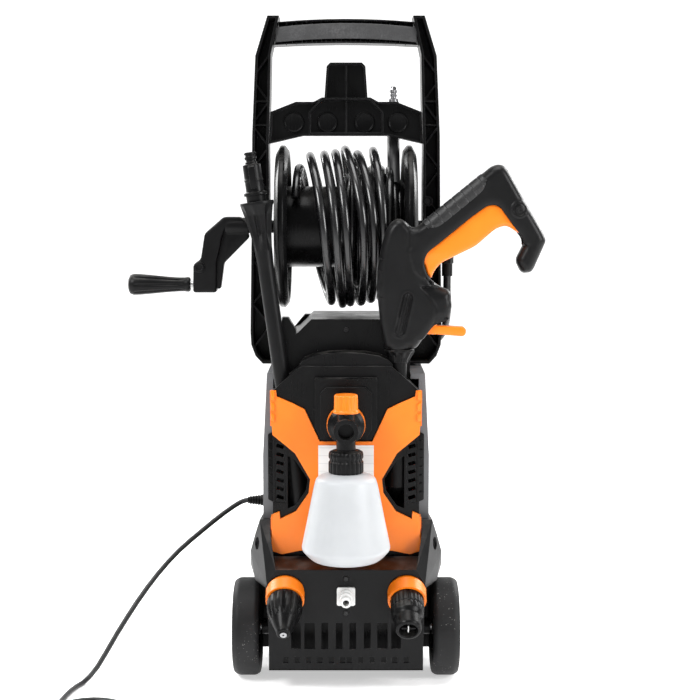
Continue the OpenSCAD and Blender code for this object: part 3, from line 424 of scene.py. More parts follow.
@dataclass(frozen=True)
class Ribbed(Finish):
    """Soft rubber with raised grains, as on grips and treads."""

    colour: Colour = (0.02, 0.02, 0.021)
    cell: float = 1.6
    depth: float = 0.0003
    roughness: float = 0.62

    def paint(self, graph: Graph) -> None:
        """Round grains in the bump; their tops are rubbed paler, and the edges are painted paler as a
        highlight.

        Args:
            graph: The material's graph.
        """
        soft, edge = graph.rounded(1.0 * MM)
        cells = graph.add(
            "ShaderNodeTexVoronoi",
            {"feature": "SMOOTH_F1"},
            {"Vector": graph.place(), "Scale": 1.0 / (self.cell * MM)},
            "Distance",
        )
        top = 1.0 - cells.step(0.1, 0.75)
        broad = graph.noise(45.0, 4.0)
        # grain tops rubbed paler; edges painted paler as a painted highlight
        rubbed_tops_and_edge_highlight = (top * 0.25 + edge * 0.4) * broad.step(0.35, 0.75)
        graph.surface(
            Base_Color=graph.blend(rubbed_tops_and_edge_highlight, self.colour, tuple(4.0 * c + 0.04 for c in self.colour)),
            Roughness=self.roughness + (broad - 0.5) * 0.15 - top * 0.08,
            Normal=graph.bump(top, self.depth, 0.6, soft),
        )


@dataclass(frozen=True)
class Tread(Finish):
    """A hard plastic tyre: matt, with grit pressed in and a rubbed running face."""

    colour: Colour = (0.0075, 0.0075, 0.008)

    def paint(self, graph: Graph) -> None:
        """Grit specks, fine pitting and broad rubbed patches.

        Args:
            graph: The material's graph.
        """
        soft, edge = graph.rounded(1.6 * MM)
        pits = graph.noise(900.0, 3.0)
        grit = graph.noise(420.0, 1.0).step(0.68, 0.76)
        broad = graph.noise(26.0, 5.0)
        rubbed = broad.step(0.4, 0.75) * 0.35
        tone = graph.blend(rubbed, self.colour, (0.03, 0.03, 0.031))
        tone = graph.blend(grit * broad.step(0.42, 0.62) * 0.6, tone, (0.36, 0.35, 0.33))
        # edges painted paler: a painted highlight
        tone = graph.blend(edge * 0.35, tone, (0.07, 0.07, 0.07))
        graph.surface(
            Base_Color=tone,
            Roughness=0.55 + (broad - 0.5) * 0.2 + grit * 0.2,
            Normal=graph.bump(pits + grit * 0.6, 0.0003, 0.5, soft),
            Specular_IOR_Level=0.25,
        )


@dataclass(frozen=True)
class Metal(Finish):
    """Turned or plated steel with fine tool marks."""

    colour: Colour = (0.55, 0.55, 0.56)
    roughness: float = 0.28

    def paint(self, graph: Graph) -> None:
        """Tool marks in bump and roughness; a slight tarnish in the colour.

        Args:
            graph: The material's graph.
        """
        soft, edge = graph.rounded(0.3 * MM)
        marks = graph.noise(1.0, 3.0, graph.stretched(300.0, 300.0, 4200.0))
        cloud = graph.noise(120.0, 4.0)
        tarnish = cloud.step(0.4, 0.75) * 0.4
        graph.surface(
            Base_Color=graph.blend(
                tarnish + edge * 0.1, self.colour, tuple(0.55 * c for c in self.colour)
            ),
            Metallic=1.0,
            Roughness=self.roughness + (marks - 0.5) * 0.2 + tarnish * 0.25,
            Normal=graph.bump(marks, 0.00005, 0.35, soft),
        )


@dataclass(frozen=True)
class Milky(Finish):
    """Blow-moulded white polyethylene: waxy, slightly see-through, faintly uneven."""

    colour: Colour = (0.5, 0.515, 0.53)

    def paint(self, graph: Graph) -> None:
        """Uneven wall in the colour and bump, a soft waxy gloss.

        Args:
            graph: The material's graph.
        """
        wall = graph.noise(32.0, 3.0)
        skin = graph.noise(800.0, 2.0)
        soft, _ = graph.rounded(1.2 * MM)
        graph.surface(
            Base_Color=graph.blend(wall.step(0.3, 0.75) * 0.5, self.colour, (0.44, 0.455, 0.47)),
            Roughness=0.38 + (wall - 0.5) * 0.12,
            Normal=graph.bump(skin * 0.4 + wall, 0.0004, 0.12, soft),
            Subsurface_Weight=0.35,
            Subsurface_Radius=(0.012, 0.012, 0.013),
            Subsurface_Scale=0.5,
        )


@dataclass(frozen=True)
class Paper(Finish):
    """A blank printed plate: satin white with grey ruled lines and no words."""

    colour: Colour = (0.8, 0.8, 0.79)

    def paint(self, graph: Graph) -> None:
        """Faint ruled lines across, a slight yellowing, and a satin film.

        Args:
            graph: The material's graph.
        """
        soft, edge = graph.rounded(0.4 * MM)
        z = graph.part(graph.place(), 2)
        line = ((z * (2.0 * math.pi / 0.0105)).sine()).step(0.93, 0.985)
        cloud = graph.noise(60.0, 3.0)
        tone = graph.blend(line * 0.35, self.colour, (0.42, 0.43, 0.44))
        graph.surface(
            Base_Color=graph.blend(
                cloud.step(0.4, 0.8) * 0.2 + edge * 0.2, tone, (0.7, 0.69, 0.65),
            ),
            Roughness=0.34 + (cloud - 0.5) * 0.15,
            Normal=graph.bump(cloud, 0.00008, 0.3, soft),
        )


@dataclass(frozen=True)
class Plain(Finish):
    """The pale studio floor, lit a little from within so that it stays white far back."""

    colour: Colour = (0.9, 0.9, 0.9)
    light: float = 0.5

    def paint(self, graph: Graph) -> None:
        """A matt, very slightly mottled white.

        Args:
            graph: The material's graph.
        """
        cloud = graph.noise(3.0, 3.0)
        graph.surface(
            Base_Color=graph.blend(cloud * 0.3, self.colour, tuple(0.98 * c for c in self.colour)),
            Roughness=0.8,
            Specular_IOR_Level=0.0,
            Emission_Color=(1.0, 1.0, 1.0),
            Emission_Strength=self.light,
        )


# In each Moulded, the colour after the edge radius is the paler edge colour: partly abrasion, partly a
# painted highlight.
BLACK = Moulded("moulded_black", "black", (0.0034, 0.0034, 0.0036), 0.3, shine=0.14)
BLACK_SATIN = Moulded(
    "moulded_black_satin", "black", (0.0034, 0.0034, 0.0036), 0.26, 0.5, 0.16, shine=0.12,
)
CHARCOAL = Moulded("moulded_charcoal", "soft", (0.0042, 0.0042, 0.0045), 0.36, 0.8, 0.4, shine=0.15)
GUN_BLACK = Moulded("gun_black", "black", (0.0055, 0.0055, 0.0058), 0.36, 0.6, 0.35, shine=0.18)
ORANGE = Moulded(
    "moulded_orange", "orange", (0.93, 0.2, 0.006), 0.34, 0.5, 0.1, 0.8, (1.0, 0.42, 0.12), 0.03
)
GREY = Moulded(
    "moulded_grey", "grey", (0.15, 0.153, 0.16), 0.36, 0.5, 0.2, 1.0, (0.5, 0.5, 0.5), 0.08
)
WHITE = Moulded(
    "moulded_white", "white", (0.72, 0.72, 0.71), 0.32, 0.5, 0.1, 0.5, (0.85, 0.85, 0.84), 0.05
)
RED = Moulded(
    "moulded_red", "red", (0.6, 0.015, 0.012), 0.3, 0.5, 0.1, 0.6, (0.8, 0.1, 0.08), 0.05
)
HOSE = Glossy("hose_skin", "hose", (0.0045, 0.0045, 0.005), 0.2, coat=0.35)
CORD = Glossy("cord_skin", "rubber", (0.01, 0.01, 0.011), 0.34)
SLEEVE = Glossy("sleeve_skin", "hose", (0.016, 0.016, 0.017), 0.4)
RUBBER = Ribbed("grip_rubber", "rubber", (0.006, 0.006, 0.0065), 1.1, 0.0002, 0.5)
BAND = Ribbed("band_rubber", "soft", (0.03, 0.03, 0.031), 2.4, 0.0004, 0.55)
TYRE = Tread("tyre", "tread")
STEEL = Metal("turned_steel", "steel", (0.4, 0.4, 0.41), 0.25)
SCREW = Moulded("screw_black", "screw", (0.006, 0.006, 0.0063), 0.3, 0.4, 0.1, shine=0.3)
ZINC = Metal("zinc_plate", "screw", (0.5, 0.5, 0.5), 0.36)
CAST = Metal("cast_alloy", "alu", (0.5, 0.51, 0.52), 0.48)
BOTTLE = Milky("milky_bottle", "bottle")
LABEL = Paper("blank_label", "white")

NODE_FINISHES: dict[Finish, tuple[str, ...]] = {
    BLACK: (
        "base_chassis", "front_cover", "top_cover", "rear_cover", "post_left", "post_right",
        "grip_bar", "cross_panel", "foam_body", "gun_valve",
    ),
    BLACK_SATIN: ("reel_drum",),
    CHARCOAL: ("base_cowl", "louvres", "swivel_elbow"),
    ORANGE: ("front_trim", "rear_trim", "holder_rings", "switch_knob"),
    GREY: ("side_panel_left", "side_panel_right"),
    WHITE: ("water_inlet",),
    RED: ("motor_shroud",),
    LABEL: ("label_plate",),
    STEEL: ("axle", "turbo_tip", "rotor"),
    SCREW: ("body_screws",),
    ZINC: ("axle_clips", "crank_pins"),
    CAST: ("motor", "pump"),
}


# -------------------------------------------------------------- mesh building
class Axis(Enum):
    """Which way a turned piece's own axis points, as a 3 by 3 turn of rows."""

    UP = ((1.0, 0.0, 0.0), (0.0, 1.0, 0.0), (0.0, 0.0, 1.0))
    RIGHT = ((0.0, 0.0, 1.0), (0.0, 1.0, 0.0), (-1.0, 0.0, 0.0))
    LEFT = ((0.0, 0.0, -1.0), (0.0, 1.0, 0.0), (1.0, 0.0, 0.0))
    FRONT = ((1.0, 0.0, 0.0), (0.0, 0.0, -1.0), (0.0, 1.0, 0.0))

    @property
    def turn(self) -> np.ndarray:
        """The turn as an array."""
        return np.array(self.value)


def outward(side: int) -> Points:
    """The turn of a piece whose own axis points away from the middle plane."""
    return (Axis.RIGHT if side > 0 else Axis.LEFT).turn


def leaning(direction: Sequence[float]) -> Points:
    """A turn that takes +Z to a direction.

    Args:
        direction: Where the piece's own axis points.

    Returns:
        A 3 by 3 matrix whose columns are the piece's axes.
    """
    w = np.array(direction, float) / np.linalg.norm(direction)
    hint = np.array([0.0, 1.0, 0.0]) if abs(w[1]) < 0.9 else np.array([1.0, 0.0, 0.0])
    u = np.cross(hint, w)
    u = u / np.linalg.norm(u)
    return np.stack([u, np.cross(w, u), w], 1)


def fillet(
    points: Sequence[Sequence[float]], radius: float, steps: int = 5, closed: bool = False,
) -> Points:
    """A polyline with each corner replaced by a parabola through its two cut points.

    Args:
        points: The corners.
        radius: How far from a corner its cuts lie, at most 0.46 of each side.
        steps: Points on each rounded corner.
        closed: Whether the last corner joins the first.

    Returns:
        The denser line.
    """
    p = np.array(points, float)
    before = np.roll(p, 1, 0) - p
    after = np.roll(p, -1, 0) - p
    lb = np.linalg.norm(before, axis=1, keepdims=True)
    la = np.linalg.norm(after, axis=1, keepdims=True)
    cut = np.minimum(radius, 0.46 * np.minimum(lb, la))
    a = p + before / np.maximum(lb, 1e-12) * cut
    b = p + after / np.maximum(la, 1e-12) * cut
    t = np.linspace(0.0, 1.0, steps)[None, :, None]
    curve = (1 - t) ** 2 * a[:, None] + 2 * t * (1 - t) * p[:, None] + t**2 * b[:, None]
    if closed:
        return curve.reshape(-1, p.shape[1])
    inner = curve[1:-1].reshape(-1, p.shape[1])
    return np.concatenate([p[:1], inner, p[-1:]])


def divided(line: Points, spacing: float) -> Points:
    """A closed line with its long sides cut into equal parts no longer than the spacing.

    Args:
        line: The line's corners.
        spacing: The longest part allowed.

    Returns:
        The denser line.
    """
    ahead = np.roll(line, -1, 0)
    count = np.maximum(1, np.ceil(np.linalg.norm(ahead - line, axis=1) / spacing)).astype(int)
    place = np.concatenate([np.arange(c) / c for c in count])[:, None]
    return np.repeat(line, count, 0) * (1 - place) + np.repeat(ahead, count, 0) * place


def ramp(x: Points, low: float, high: float) -> Points:
    """A smooth rise from 0 at low to 1 at high."""
    t = np.clip((x - low) / (high - low), 0.0, 1.0)
    return t * t * (3.0 - 2.0 * t)


def distance(points: Points, line: Points, closed: bool = True) -> Points:
    """How far each point is from the nearest leg of a line.

    Args:
        points: Points (n, 2).
        line: The line's corners (m, 2).
        closed: Whether the last corner joins the first.

    Returns:
        Distances (n,).
    """
    a = line if closed else line[:-1]
    b = np.roll(line, -1, 0) if closed else line[1:]
    leg = b - a
    share = np.einsum(
        "ijk,jk->ij", points[:, None] - a[None], leg,
    ) / np.maximum((leg**2).sum(1), 1e-12)
    near = a[None] + np.clip(share, 0, 1)[..., None] * leg[None]
    return np.linalg.norm(points[:, None] - near, axis=2).min(1)


def depth_in(points: Points, line: Points) -> Points:
    """Distance to a closed line, positive where a ray to the right crosses it an odd number of
    times.

    Args:
        points: Points (n, 2).
        line: The closed line's corners (m, 2).

    Returns:
        Distances (n,), positive inside.
    """
    x, z = points[:, 0:1], points[:, 1:2]
    ax, az = line[:, 0][None], line[:, 1][None]
    bx, bz = np.roll(line[:, 0], -1)[None], np.roll(line[:, 1], -1)[None]
    spans = (az > z) != (bz > z)
    cross = ax + (z - az) * (bx - ax) / np.where(np.abs(bz - az) < 1e-12, 1e-12, bz - az)
    inside = (spans & (x < cross)).sum(1) % 2 == 1
    return np.where(inside, 1.0, -1.0) * distance(points, line)


def smooth_path(points: Sequence[Sequence[float]], steps: int) -> Points:
    """A Catmull-Rom line through points: each leg is the cubic that leaves along the chord of its
    neighbours.

    Args:
        points: The route's points.
        steps: Points on each leg.

    Returns:
        The line's points.
    """
    p = np.array(points, float)
    q = np.concatenate([p[:1], p, p[-1:]])
    a, b, c, d = (q[k : len(p) - 1 + k, None] for k in range(4))
    t = np.linspace(0.0, 1.0, steps, endpoint=False)[None, :, None]
    legs = 0.5 * (
        2 * b + (c - a) * t + (2 * a - 5 * b + 4 * c - d) * t**2 + (3 * b - a - 3 * c + d) * t**3
    )
    return np.concatenate([legs.reshape(-1, p.shape[1]), p[-1:]])


def grid_faces(rows: int, columns: int, wrap_rows: bool, wrap_columns: bool) -> Points:
    """Quads of a grid numbered row by row.

    Args:
        rows: Rows of points.
        columns: Points in a row.
        wrap_rows: Whether the last row joins the first.
        wrap_columns: Whether each row closes.

    Returns:
        Corner numbers (n, 4).
    """
    i = np.arange(rows if wrap_rows else rows - 1)[:, None]
    j = np.arange(columns if wrap_columns else columns - 1)[None, :]
    i2, j2 = (i + 1) % rows, (j + 1) % columns
    quads = np.stack(
        np.broadcast_arrays(
            i * columns + j, i * columns + j2, i2 * columns + j2, i2 * columns + j,
        ), -1
    )
    return quads.reshape(-1, 4)


def make_piece(
    name: str,
    grids: Sequence[Grid],
    body: str,
    finish: Finish,
    stands_for: Sequence[str] = (),
    crease: float = 40.0,
    skins: Sequence[tuple[Points, Points]] = (),
) -> bpy.types.Object:
    """Makes one piece from grids of points, in millimetres.

    Args:
        name: The piece's name.
        grids: Each grid's points (rows, columns, 3), whether its rows and columns wrap, and whether
            its first and last rows are filled.
        body: The body it moves with.
        finish: Its finish.
        stands_for: CAD nodes it replaces.
        crease: Angle in degrees above which an edge stays sharp.
        skins: Further closed meshes, each as its points (n, 3) and triangles (m, 3).

    Returns:
        The object.
    """
    points, faces, count = [], [], 0
    for skin, triangles in skins:
        points.append(skin)
        faces += (triangles + count).tolist()
        count += len(skin)
    for grid, wrap_rows, wrap_columns, caps in grids:
        rows, columns = grid.shape[:2]
        points.append(grid.reshape(-1, 3))
        faces += (grid_faces(rows, columns, wrap_rows, wrap_columns) + count).tolist()
        if caps:
            faces.append((np.arange(columns)[::-1] + count).tolist())
            faces.append((np.arange(columns) + count + (rows - 1) * columns).tolist())
        count += rows * columns
    mesh = bpy.data.meshes.new(name)
    mesh.from_pydata((np.concatenate(points) * MM).tolist(), [], faces)
    work = bmesh.new()
    work.from_mesh(mesh)
    bmesh.ops.remove_doubles(work, verts=work.verts, dist=0.002 * MM)
    bmesh.ops.dissolve_degenerate(work, edges=work.edges, dist=0.001 * MM)
    bmesh.ops.recalc_face_normals(work, faces=work.faces)
    work.to_mesh(mesh)
    work.free()
    mesh.shade_smooth()
    mesh.set_sharp_from_angle(angle=math.radians(crease))
    piece = bpy.data.objects.new(name, mesh)
    bpy.context.scene.collection.objects.link(piece)
    piece.data.materials.append(finish.material())
    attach(piece, body)
    if stands_for:
        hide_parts(*stands_for)
    LOG.info("%s: %d faces on %s", name, len(mesh.polygons), body)
    return piece


def turned(
    profile: Sequence[Sequence[float]],
    place: Sequence[float],
    turn: Points,
    round_by: float = 0.8,
    around: int = 64,
    flutes: tuple[int, float, float, float] | None = None,
    narrow: float = 4.0,
) -> Points:
    """A surface of revolution: (r cos a, r sin a, h) for a point (r, h) of the rounded profile.

    Args:
        profile: Radius and height pairs.
        place: Where the piece's own origin is.
        turn: Columns are the piece's own axes.
        round_by: How far each corner is rounded.
        around: Points around.
        flutes: Count, depth, and lowest and highest height of grooves; the radius there falls by
            depth times a power of a raised cosine.
        narrow: That power; below 1 the grooves are wide and the ribs thin.

    Returns:
        Points (rows, around, 3).
    """
    rh = fillet(profile, round_by, 4)
    angle = np.linspace(0.0, 2.0 * math.pi, around, endpoint=False)
    r, h = rh[:, :1], rh[:, 1:]
    r = np.broadcast_to(r, (len(rh), around)).copy()
    if flutes:
        count, depth, low, high = flutes
        ends = np.clip((h - low) / 3.0, 0, 1) * np.clip((high - h) / 3.0, 0, 1)
        r -= depth * ends * (0.5 + 0.5 * np.cos(count * angle)[None]) ** narrow
    local = np.stack([r * np.cos(angle), r * np.sin(angle), np.broadcast_to(h, r.shape)], -1)
    return local @ np.array(turn).T + np.array(place, float)


def tube(path: Points, radius: float | Points, hint: Sequence[float], sides: int = 14) -> Points:
    """Rings of a given radius, square to a path, their first point towards the hint.

    Args:
        path: The centreline's points.
        radius: One radius, or one for each point.
        hint: A direction that the path is never parallel to.
        sides: Points on a ring.

    Returns:
        Points (len(path), sides, 3).
    """
    t = np.gradient(path, axis=0)
    t /= np.linalg.norm(t, axis=1, keepdims=True)
    u = np.array(hint, float)[None] - t * (t @ np.array(hint, float))[:, None]
    u /= np.linalg.norm(u, axis=1, keepdims=True)
    v = np.cross(t, u)
    a = np.linspace(0.0, 2.0 * math.pi, sides, endpoint=False)[None, :, None]
    r = np.broadcast_to(np.asarray(radius, float), (len(path),))[:, None, None]
    return path[:, None] + r * (u[:, None] * np.cos(a) + v[:, None] * np.sin(a))


@dataclass
class Outline:
    """A closed outline in X and Z, rounded at its corners, with its outward normals.

    Its reach at a point is the radius of the largest circle inside that touches it there.
    """

    corners: Sequence[Sequence[float]]
    radius: float = 6.0
    steps: int = 6
    spacing: float = 0.0
    line: Points = field(init=False)
    normal: Points = field(init=False)
    reach: Points = field(init=False)

    def __post_init__(self) -> None:
        """Rounds the corners and finds normals and how far each point may be inset."""
        line = fillet(self.corners, self.radius, self.steps, closed=True)
        if self.spacing:
            line = divided(line, self.spacing)
        x, z = line[:, 0], line[:, 1]
        if np.sum(x * np.roll(z, -1) - np.roll(x, -1) * z) < 0:
            line = line[::-1]
        ahead, back = np.roll(line, -1, 0), np.roll(line, 1, 0)
        tangent = ahead - back
        tangent /= np.maximum(np.linalg.norm(tangent, axis=1, keepdims=True), 1e-9)
        self.line = line
        self.normal = np.stack([tangent[:, 1], -tangent[:, 0]], -1)
        to = line[None] - line[:, None]
        inward = -np.einsum("ijk,ik->ij", to, self.normal)
        size = np.einsum("ijk,ijk->ij", to, to)
        circle = np.where(inward > 1e-6, size / (2.0 * np.maximum(inward, 1e-6)), 1e3)
        self.reach = 0.9 * circle.min(1)

    def ring(self, inset: float, y: float | Points) -> Points:
        """The outline moved inwards and set at a depth.

        Args:
            inset: How far inwards, at most the reach.
            y: The depth, or one for each point.

        Returns:
            Points (n, 3).
        """
        amount = np.minimum(inset, self.reach)[:, None]
        moved = self.line - self.normal * amount
        return np.stack([moved[:, 0], np.broadcast_to(y, len(moved)), moved[:, 1]], -1)

    def slab(self, y0: float, y1: float, edge: float, steps: int = 5) -> Points:
        """A plate between two depths with quarter-round rims: a ring is inset by edge (1 - sin a)
        at depth edge (1 - cos a).

        Args:
            y0: The near face.
            y1: The far face.
            edge: The rim's radius.
            steps: Rings on each rim.

        Returns:
            Points (rings, around, 3), to be filled at both ends.
        """
        a = np.linspace(0.0, math.pi / 2, steps)
        near = [self.ring(edge * (1 - math.sin(t)), y0 + edge * (1 - math.cos(t))) for t in a]
        far = [self.ring(edge * (1 - math.sin(t)), y1 - edge * (1 - math.cos(t))) for t in a[::-1]]
        return np.stack(near + far)


def spokes(plate: Points, count: int, first: float, side: int, at: Sequence[float]) -> list[Grid]:
    """Copies of a rib set evenly round an axis across the machine.

    Args:
        plate: The rib: radius, thickness and distance out.
        count: How many ribs.
        first: The first rib's angle.
        side: -1 for the left side, 1 for the right.
        at: Where the axis meets the rib's zero distance.

    Returns:
        Their grids.
    """
    grids = []
    for k in range(count):
        a = 2.0 * math.pi / count * k + first
        radial = plate[..., 0:1] * np.array([0.0, math.cos(a), math.sin(a)])
        level = plate[..., 1:2] * np.array([0.0, -math.sin(a), math.cos(a)])
        out = plate[..., 2:3] * np.array([float(side), 0.0, 0.0])
        grids.append((radial + level + out + np.array(at), *CAPPED))
    return grids


# ------------------------------------------------------------------- camera
@dataclass
class Studio:
    """Camera, white sweep and soft lamps."""

    distance: float = 2.1
    height: float = 0.65
    aim: float = 0.438
    lens: float = 77.97
    shift: float = 0.0057

    def build(self) -> None:
        """Makes the camera, the lamps and the sweep."""
        scene = bpy.context.scene
        data = bpy.data.cameras.new("camera")
        data.lens, data.shift_x, data.sensor_width = self.lens, self.shift, 36.0
        camera = bpy.data.objects.new("camera", data)
        camera.location = (0.0, -self.distance, self.height)
        look = Vector((0.0, self.distance, self.aim - self.height))
        camera.rotation_euler = look.to_track_quat("-Z", "Y").to_euler()
        scene.collection.objects.link(camera)
        scene.camera = camera
        scene.view_settings.view_transform = "Standard"
        world = bpy.data.worlds.new("studio")
        world.use_nodes = True
        world.node_tree.nodes["Background"].inputs[0].default_value = (1.0, 1.0, 1.0, 1.0)
        world.node_tree.nodes["Background"].inputs[1].default_value = 0.3
        scene.world = world
        self._lamp("key", (-1.7, -1.5, 2.2), (0.0, 0.0, 0.5), 1.0, 56.0)
        self._lamp("fill", (2.0, -1.2, 1.2), (0.0, 0.0, 0.45), 1.0, 36.0)
        self._lamp("rim_left", (-1.5, 1.3, 1.4), (0.0, 0.0, 0.6), 1.0, 30.0)
        self._lamp("rim_right", (1.5, 1.3, 1.4), (0.0, 0.0, 0.6), 1.0, 30.0)
        self._lamp("top", (0.0, -0.2, 2.6), (0.0, 0.0, 0.0), 1.4, 32.0)
        self._sweep()

    def _lamp(
        self, name: str, at: Sequence[float], to: Sequence[float], size: float, power: float,
    ) -> None:
        """One square lamp pointed at a place.

        Args:
            name: The lamp's name.
            at: Where it stands.
            to: What it points at.
            size: Its side in metres.
            power: Its power in watts.
        """
        data = bpy.data.lights.new(name, "AREA")
        data.energy, data.size = power, size
        lamp = bpy.data.objects.new(name, data)
        lamp.location = at
        lamp.rotation_euler = (Vector(to) - Vector(at)).to_track_quat("-Z", "Y").to_euler()
        bpy.context.scene.collection.objects.link(lamp)

    def _sweep(self) -> None:
        """Floor that curves up behind: a flat run, a quarter circle, and a wall."""
        a = np.linspace(0.0, math.pi / 2, 24)
        y = np.concatenate([[-SPAN], 3.0 + 2.0 * np.sin(a), [5.0]])
        z = np.concatenate([[0.0], 2.0 - 2.0 * np.cos(a), [7.0]])
        x = np.array([-SPAN, SPAN])
        grid = np.stack(
            [
                np.broadcast_to(x[None], (len(y), 2)),
                *(np.broadcast_to(k[:, None], (len(y), 2)) for k in (y, z)),
            ],
            -1,
        )
        mesh = bpy.data.meshes.new("floor")
        mesh.from_pydata(
            grid.reshape(-1, 3).tolist(), [], grid_faces(len(y), 2, False, False).tolist(),
        )
        mesh.shade_smooth()
        floor = bpy.data.objects.new("floor", mesh)
        floor.data.materials.append(Plain("sweep", "white").material())
        bpy.context.scene.collection.objects.link(floor)


# ------------------------------------------------------------ cord and hoses
@dataclass
class PowerCord:
    """The mains cord: its seen run, its coil on the floor, plug and strain relief."""

    radius: float = 3.5
    start: tuple[float, float, float] = (-139.0, 20.0, 222.0)
    centre: tuple[float, float] = (-312.0, -330.0)
    turns: int = 17

    def route(self) -> Points:
        """The run from the machine to the coil, then the coil's turns.

        The coil is a helix whose turn n lies in column n mod 4 and layer n div 4, with the change
        to the next place spread smoothly over the last fifth of each turn.

        Returns:
            Centreline points in millimetres.
        """
        run = smooth_path(
            [
                self.start, (-150, 19, 219), (-172, 8, 206), (-200, -10, 186), (-232, -30, 161),
                (-260, -48, 132), (-286, -66, 98), (-312, -84, 58), (-336, -104, 18),
                (-352, -128, 3.5), (-362, -160, 3.5), (-367, -200, 3.5), (-368, -235, 3.5),
                (-366, -265, 3.5), (-364, -298, 3.5), (-362.6, -330, 3.5),
            ],
            2,
        )
        s = np.arange(0.0, self.turns, 1.0 / 28.0)[1:]
        n = np.floor(s).astype(int)
        ease = np.clip((s - n - 0.72) / 0.28, 0.0, 1.0)
        ease = ease * ease * (3 - 2 * ease)
        layer = np.minimum(np.arange(self.turns + 2) // 4, 4)
        step = np.arange(self.turns + 2) % 4
        column = np.where(layer % 2 == 0, step, 3 - step)
        across = 50.6 - 7.1 * column
        high = 3.5 + 7.05 * layer
        r = across[n] * (1 - ease) + across[n + 1] * ease
        z = high[n] * (1 - ease) + high[n + 1] * ease
        a = math.pi + 2.0 * math.pi * s
        coil = np.stack([self.centre[0] + r * np.cos(a), self.centre[1] + r * np.sin(a), z], -1)
        run[:, 2] = np.maximum(run[:, 2], self.radius)
        return np.concatenate([run, coil])

    def build(self) -> None:
        path = self.route()
        cord = make_piece(
            "mains_cord",
            [(tube(path, self.radius, (0.2, 0.5, 0.84), 12), *CAPPED)],
            "machine", CORD, ("power_cord", "cord_coil"),
        )
        plug = self._plug()
        2 * self.radius * MM
        self._relief()

    def _plug(self) -> bpy.types.Object:
        """The plug: a turned body with a ribbed neck, a round face and two pins.

        Returns:
            The plug.
        """
        at = (self.centre[0] - 2.0, self.centre[1] - 78.0, 14.0)
        shape = [
            (0, -18), (13, -18), (13.5, -13), (13, 2), (11.5, 12), (9, 19), (7.6, 20), (7.6, 22.5),
            (6.4, 23), (6.4, 25), (7.2, 25.5), (7.2, 28), (6, 28.5), (6, 30.5), (6.8, 31),
            (6.8, 33),
            (5.6, 33.5), (5.4, 38), (0, 38),
        ]
        turn = Axis.RIGHT.turn
        grids = [(turned(shape, at, turn, 0.6, 48, (16, 0.7, -12.0, 4.0)), *POLED)]
        for side in (-9.5, 9.5):
            pin = [(0, -37), (1.6, -37), (2.4, -35), (2.4, -17.5), (0, -17.5)]
            grids.append((turned(pin, (at[0], at[1] + side, at[2]), turn, 0.5, 20), *POLED))
        return make_piece("mains_plug", grids, "machine", CORD, ("plug",))

    def _relief(self) -> None:
        """The ribbed relief: a flange, then a cone whose radius steps in rings."""
        profile = [(3.6, -8), (3.9, -8), (3.9, 0), (12.4, 0), (12.4, 1.8), (11.4, 2.8), (8.4, 3.2)]
        for k in range(5):
            h, r = 6.0 + 3.8 * k, 7.8 - 0.5 * k
            profile += [(r, h), (r, h + 1.9), (r - 1.1, h + 2.2), (r - 1.2, h + 3.5)]
        profile += [(5.2, 25.0), (5.0, 26.0), (3.6, 26.0)]
        plate = turned(
            [(8.0, -0.2), (17.5, -0.2), (17.5, 1.6), (16.4, 2.4), (8.0, 2.4)], (0, 0, 0), np.eye(3),
            0.5, 48,
        )
        plate = plate @ Axis.LEFT.turn.T * np.array([1.0, 0.72, 1.0]) + np.array(
            [-113.0, 20.0, 222.0]
        )
        make_piece("cord_plate", [(plate, *LOOPED)], "machine", BLACK)
        make_piece(
            "cord_relief",
            [(turned(profile, (-113.0, 20.0, 222.0), Axis.LEFT.turn, 0.4, 48), *LOOPED)],
            "machine", BLACK, ("cable_gland",),
        )


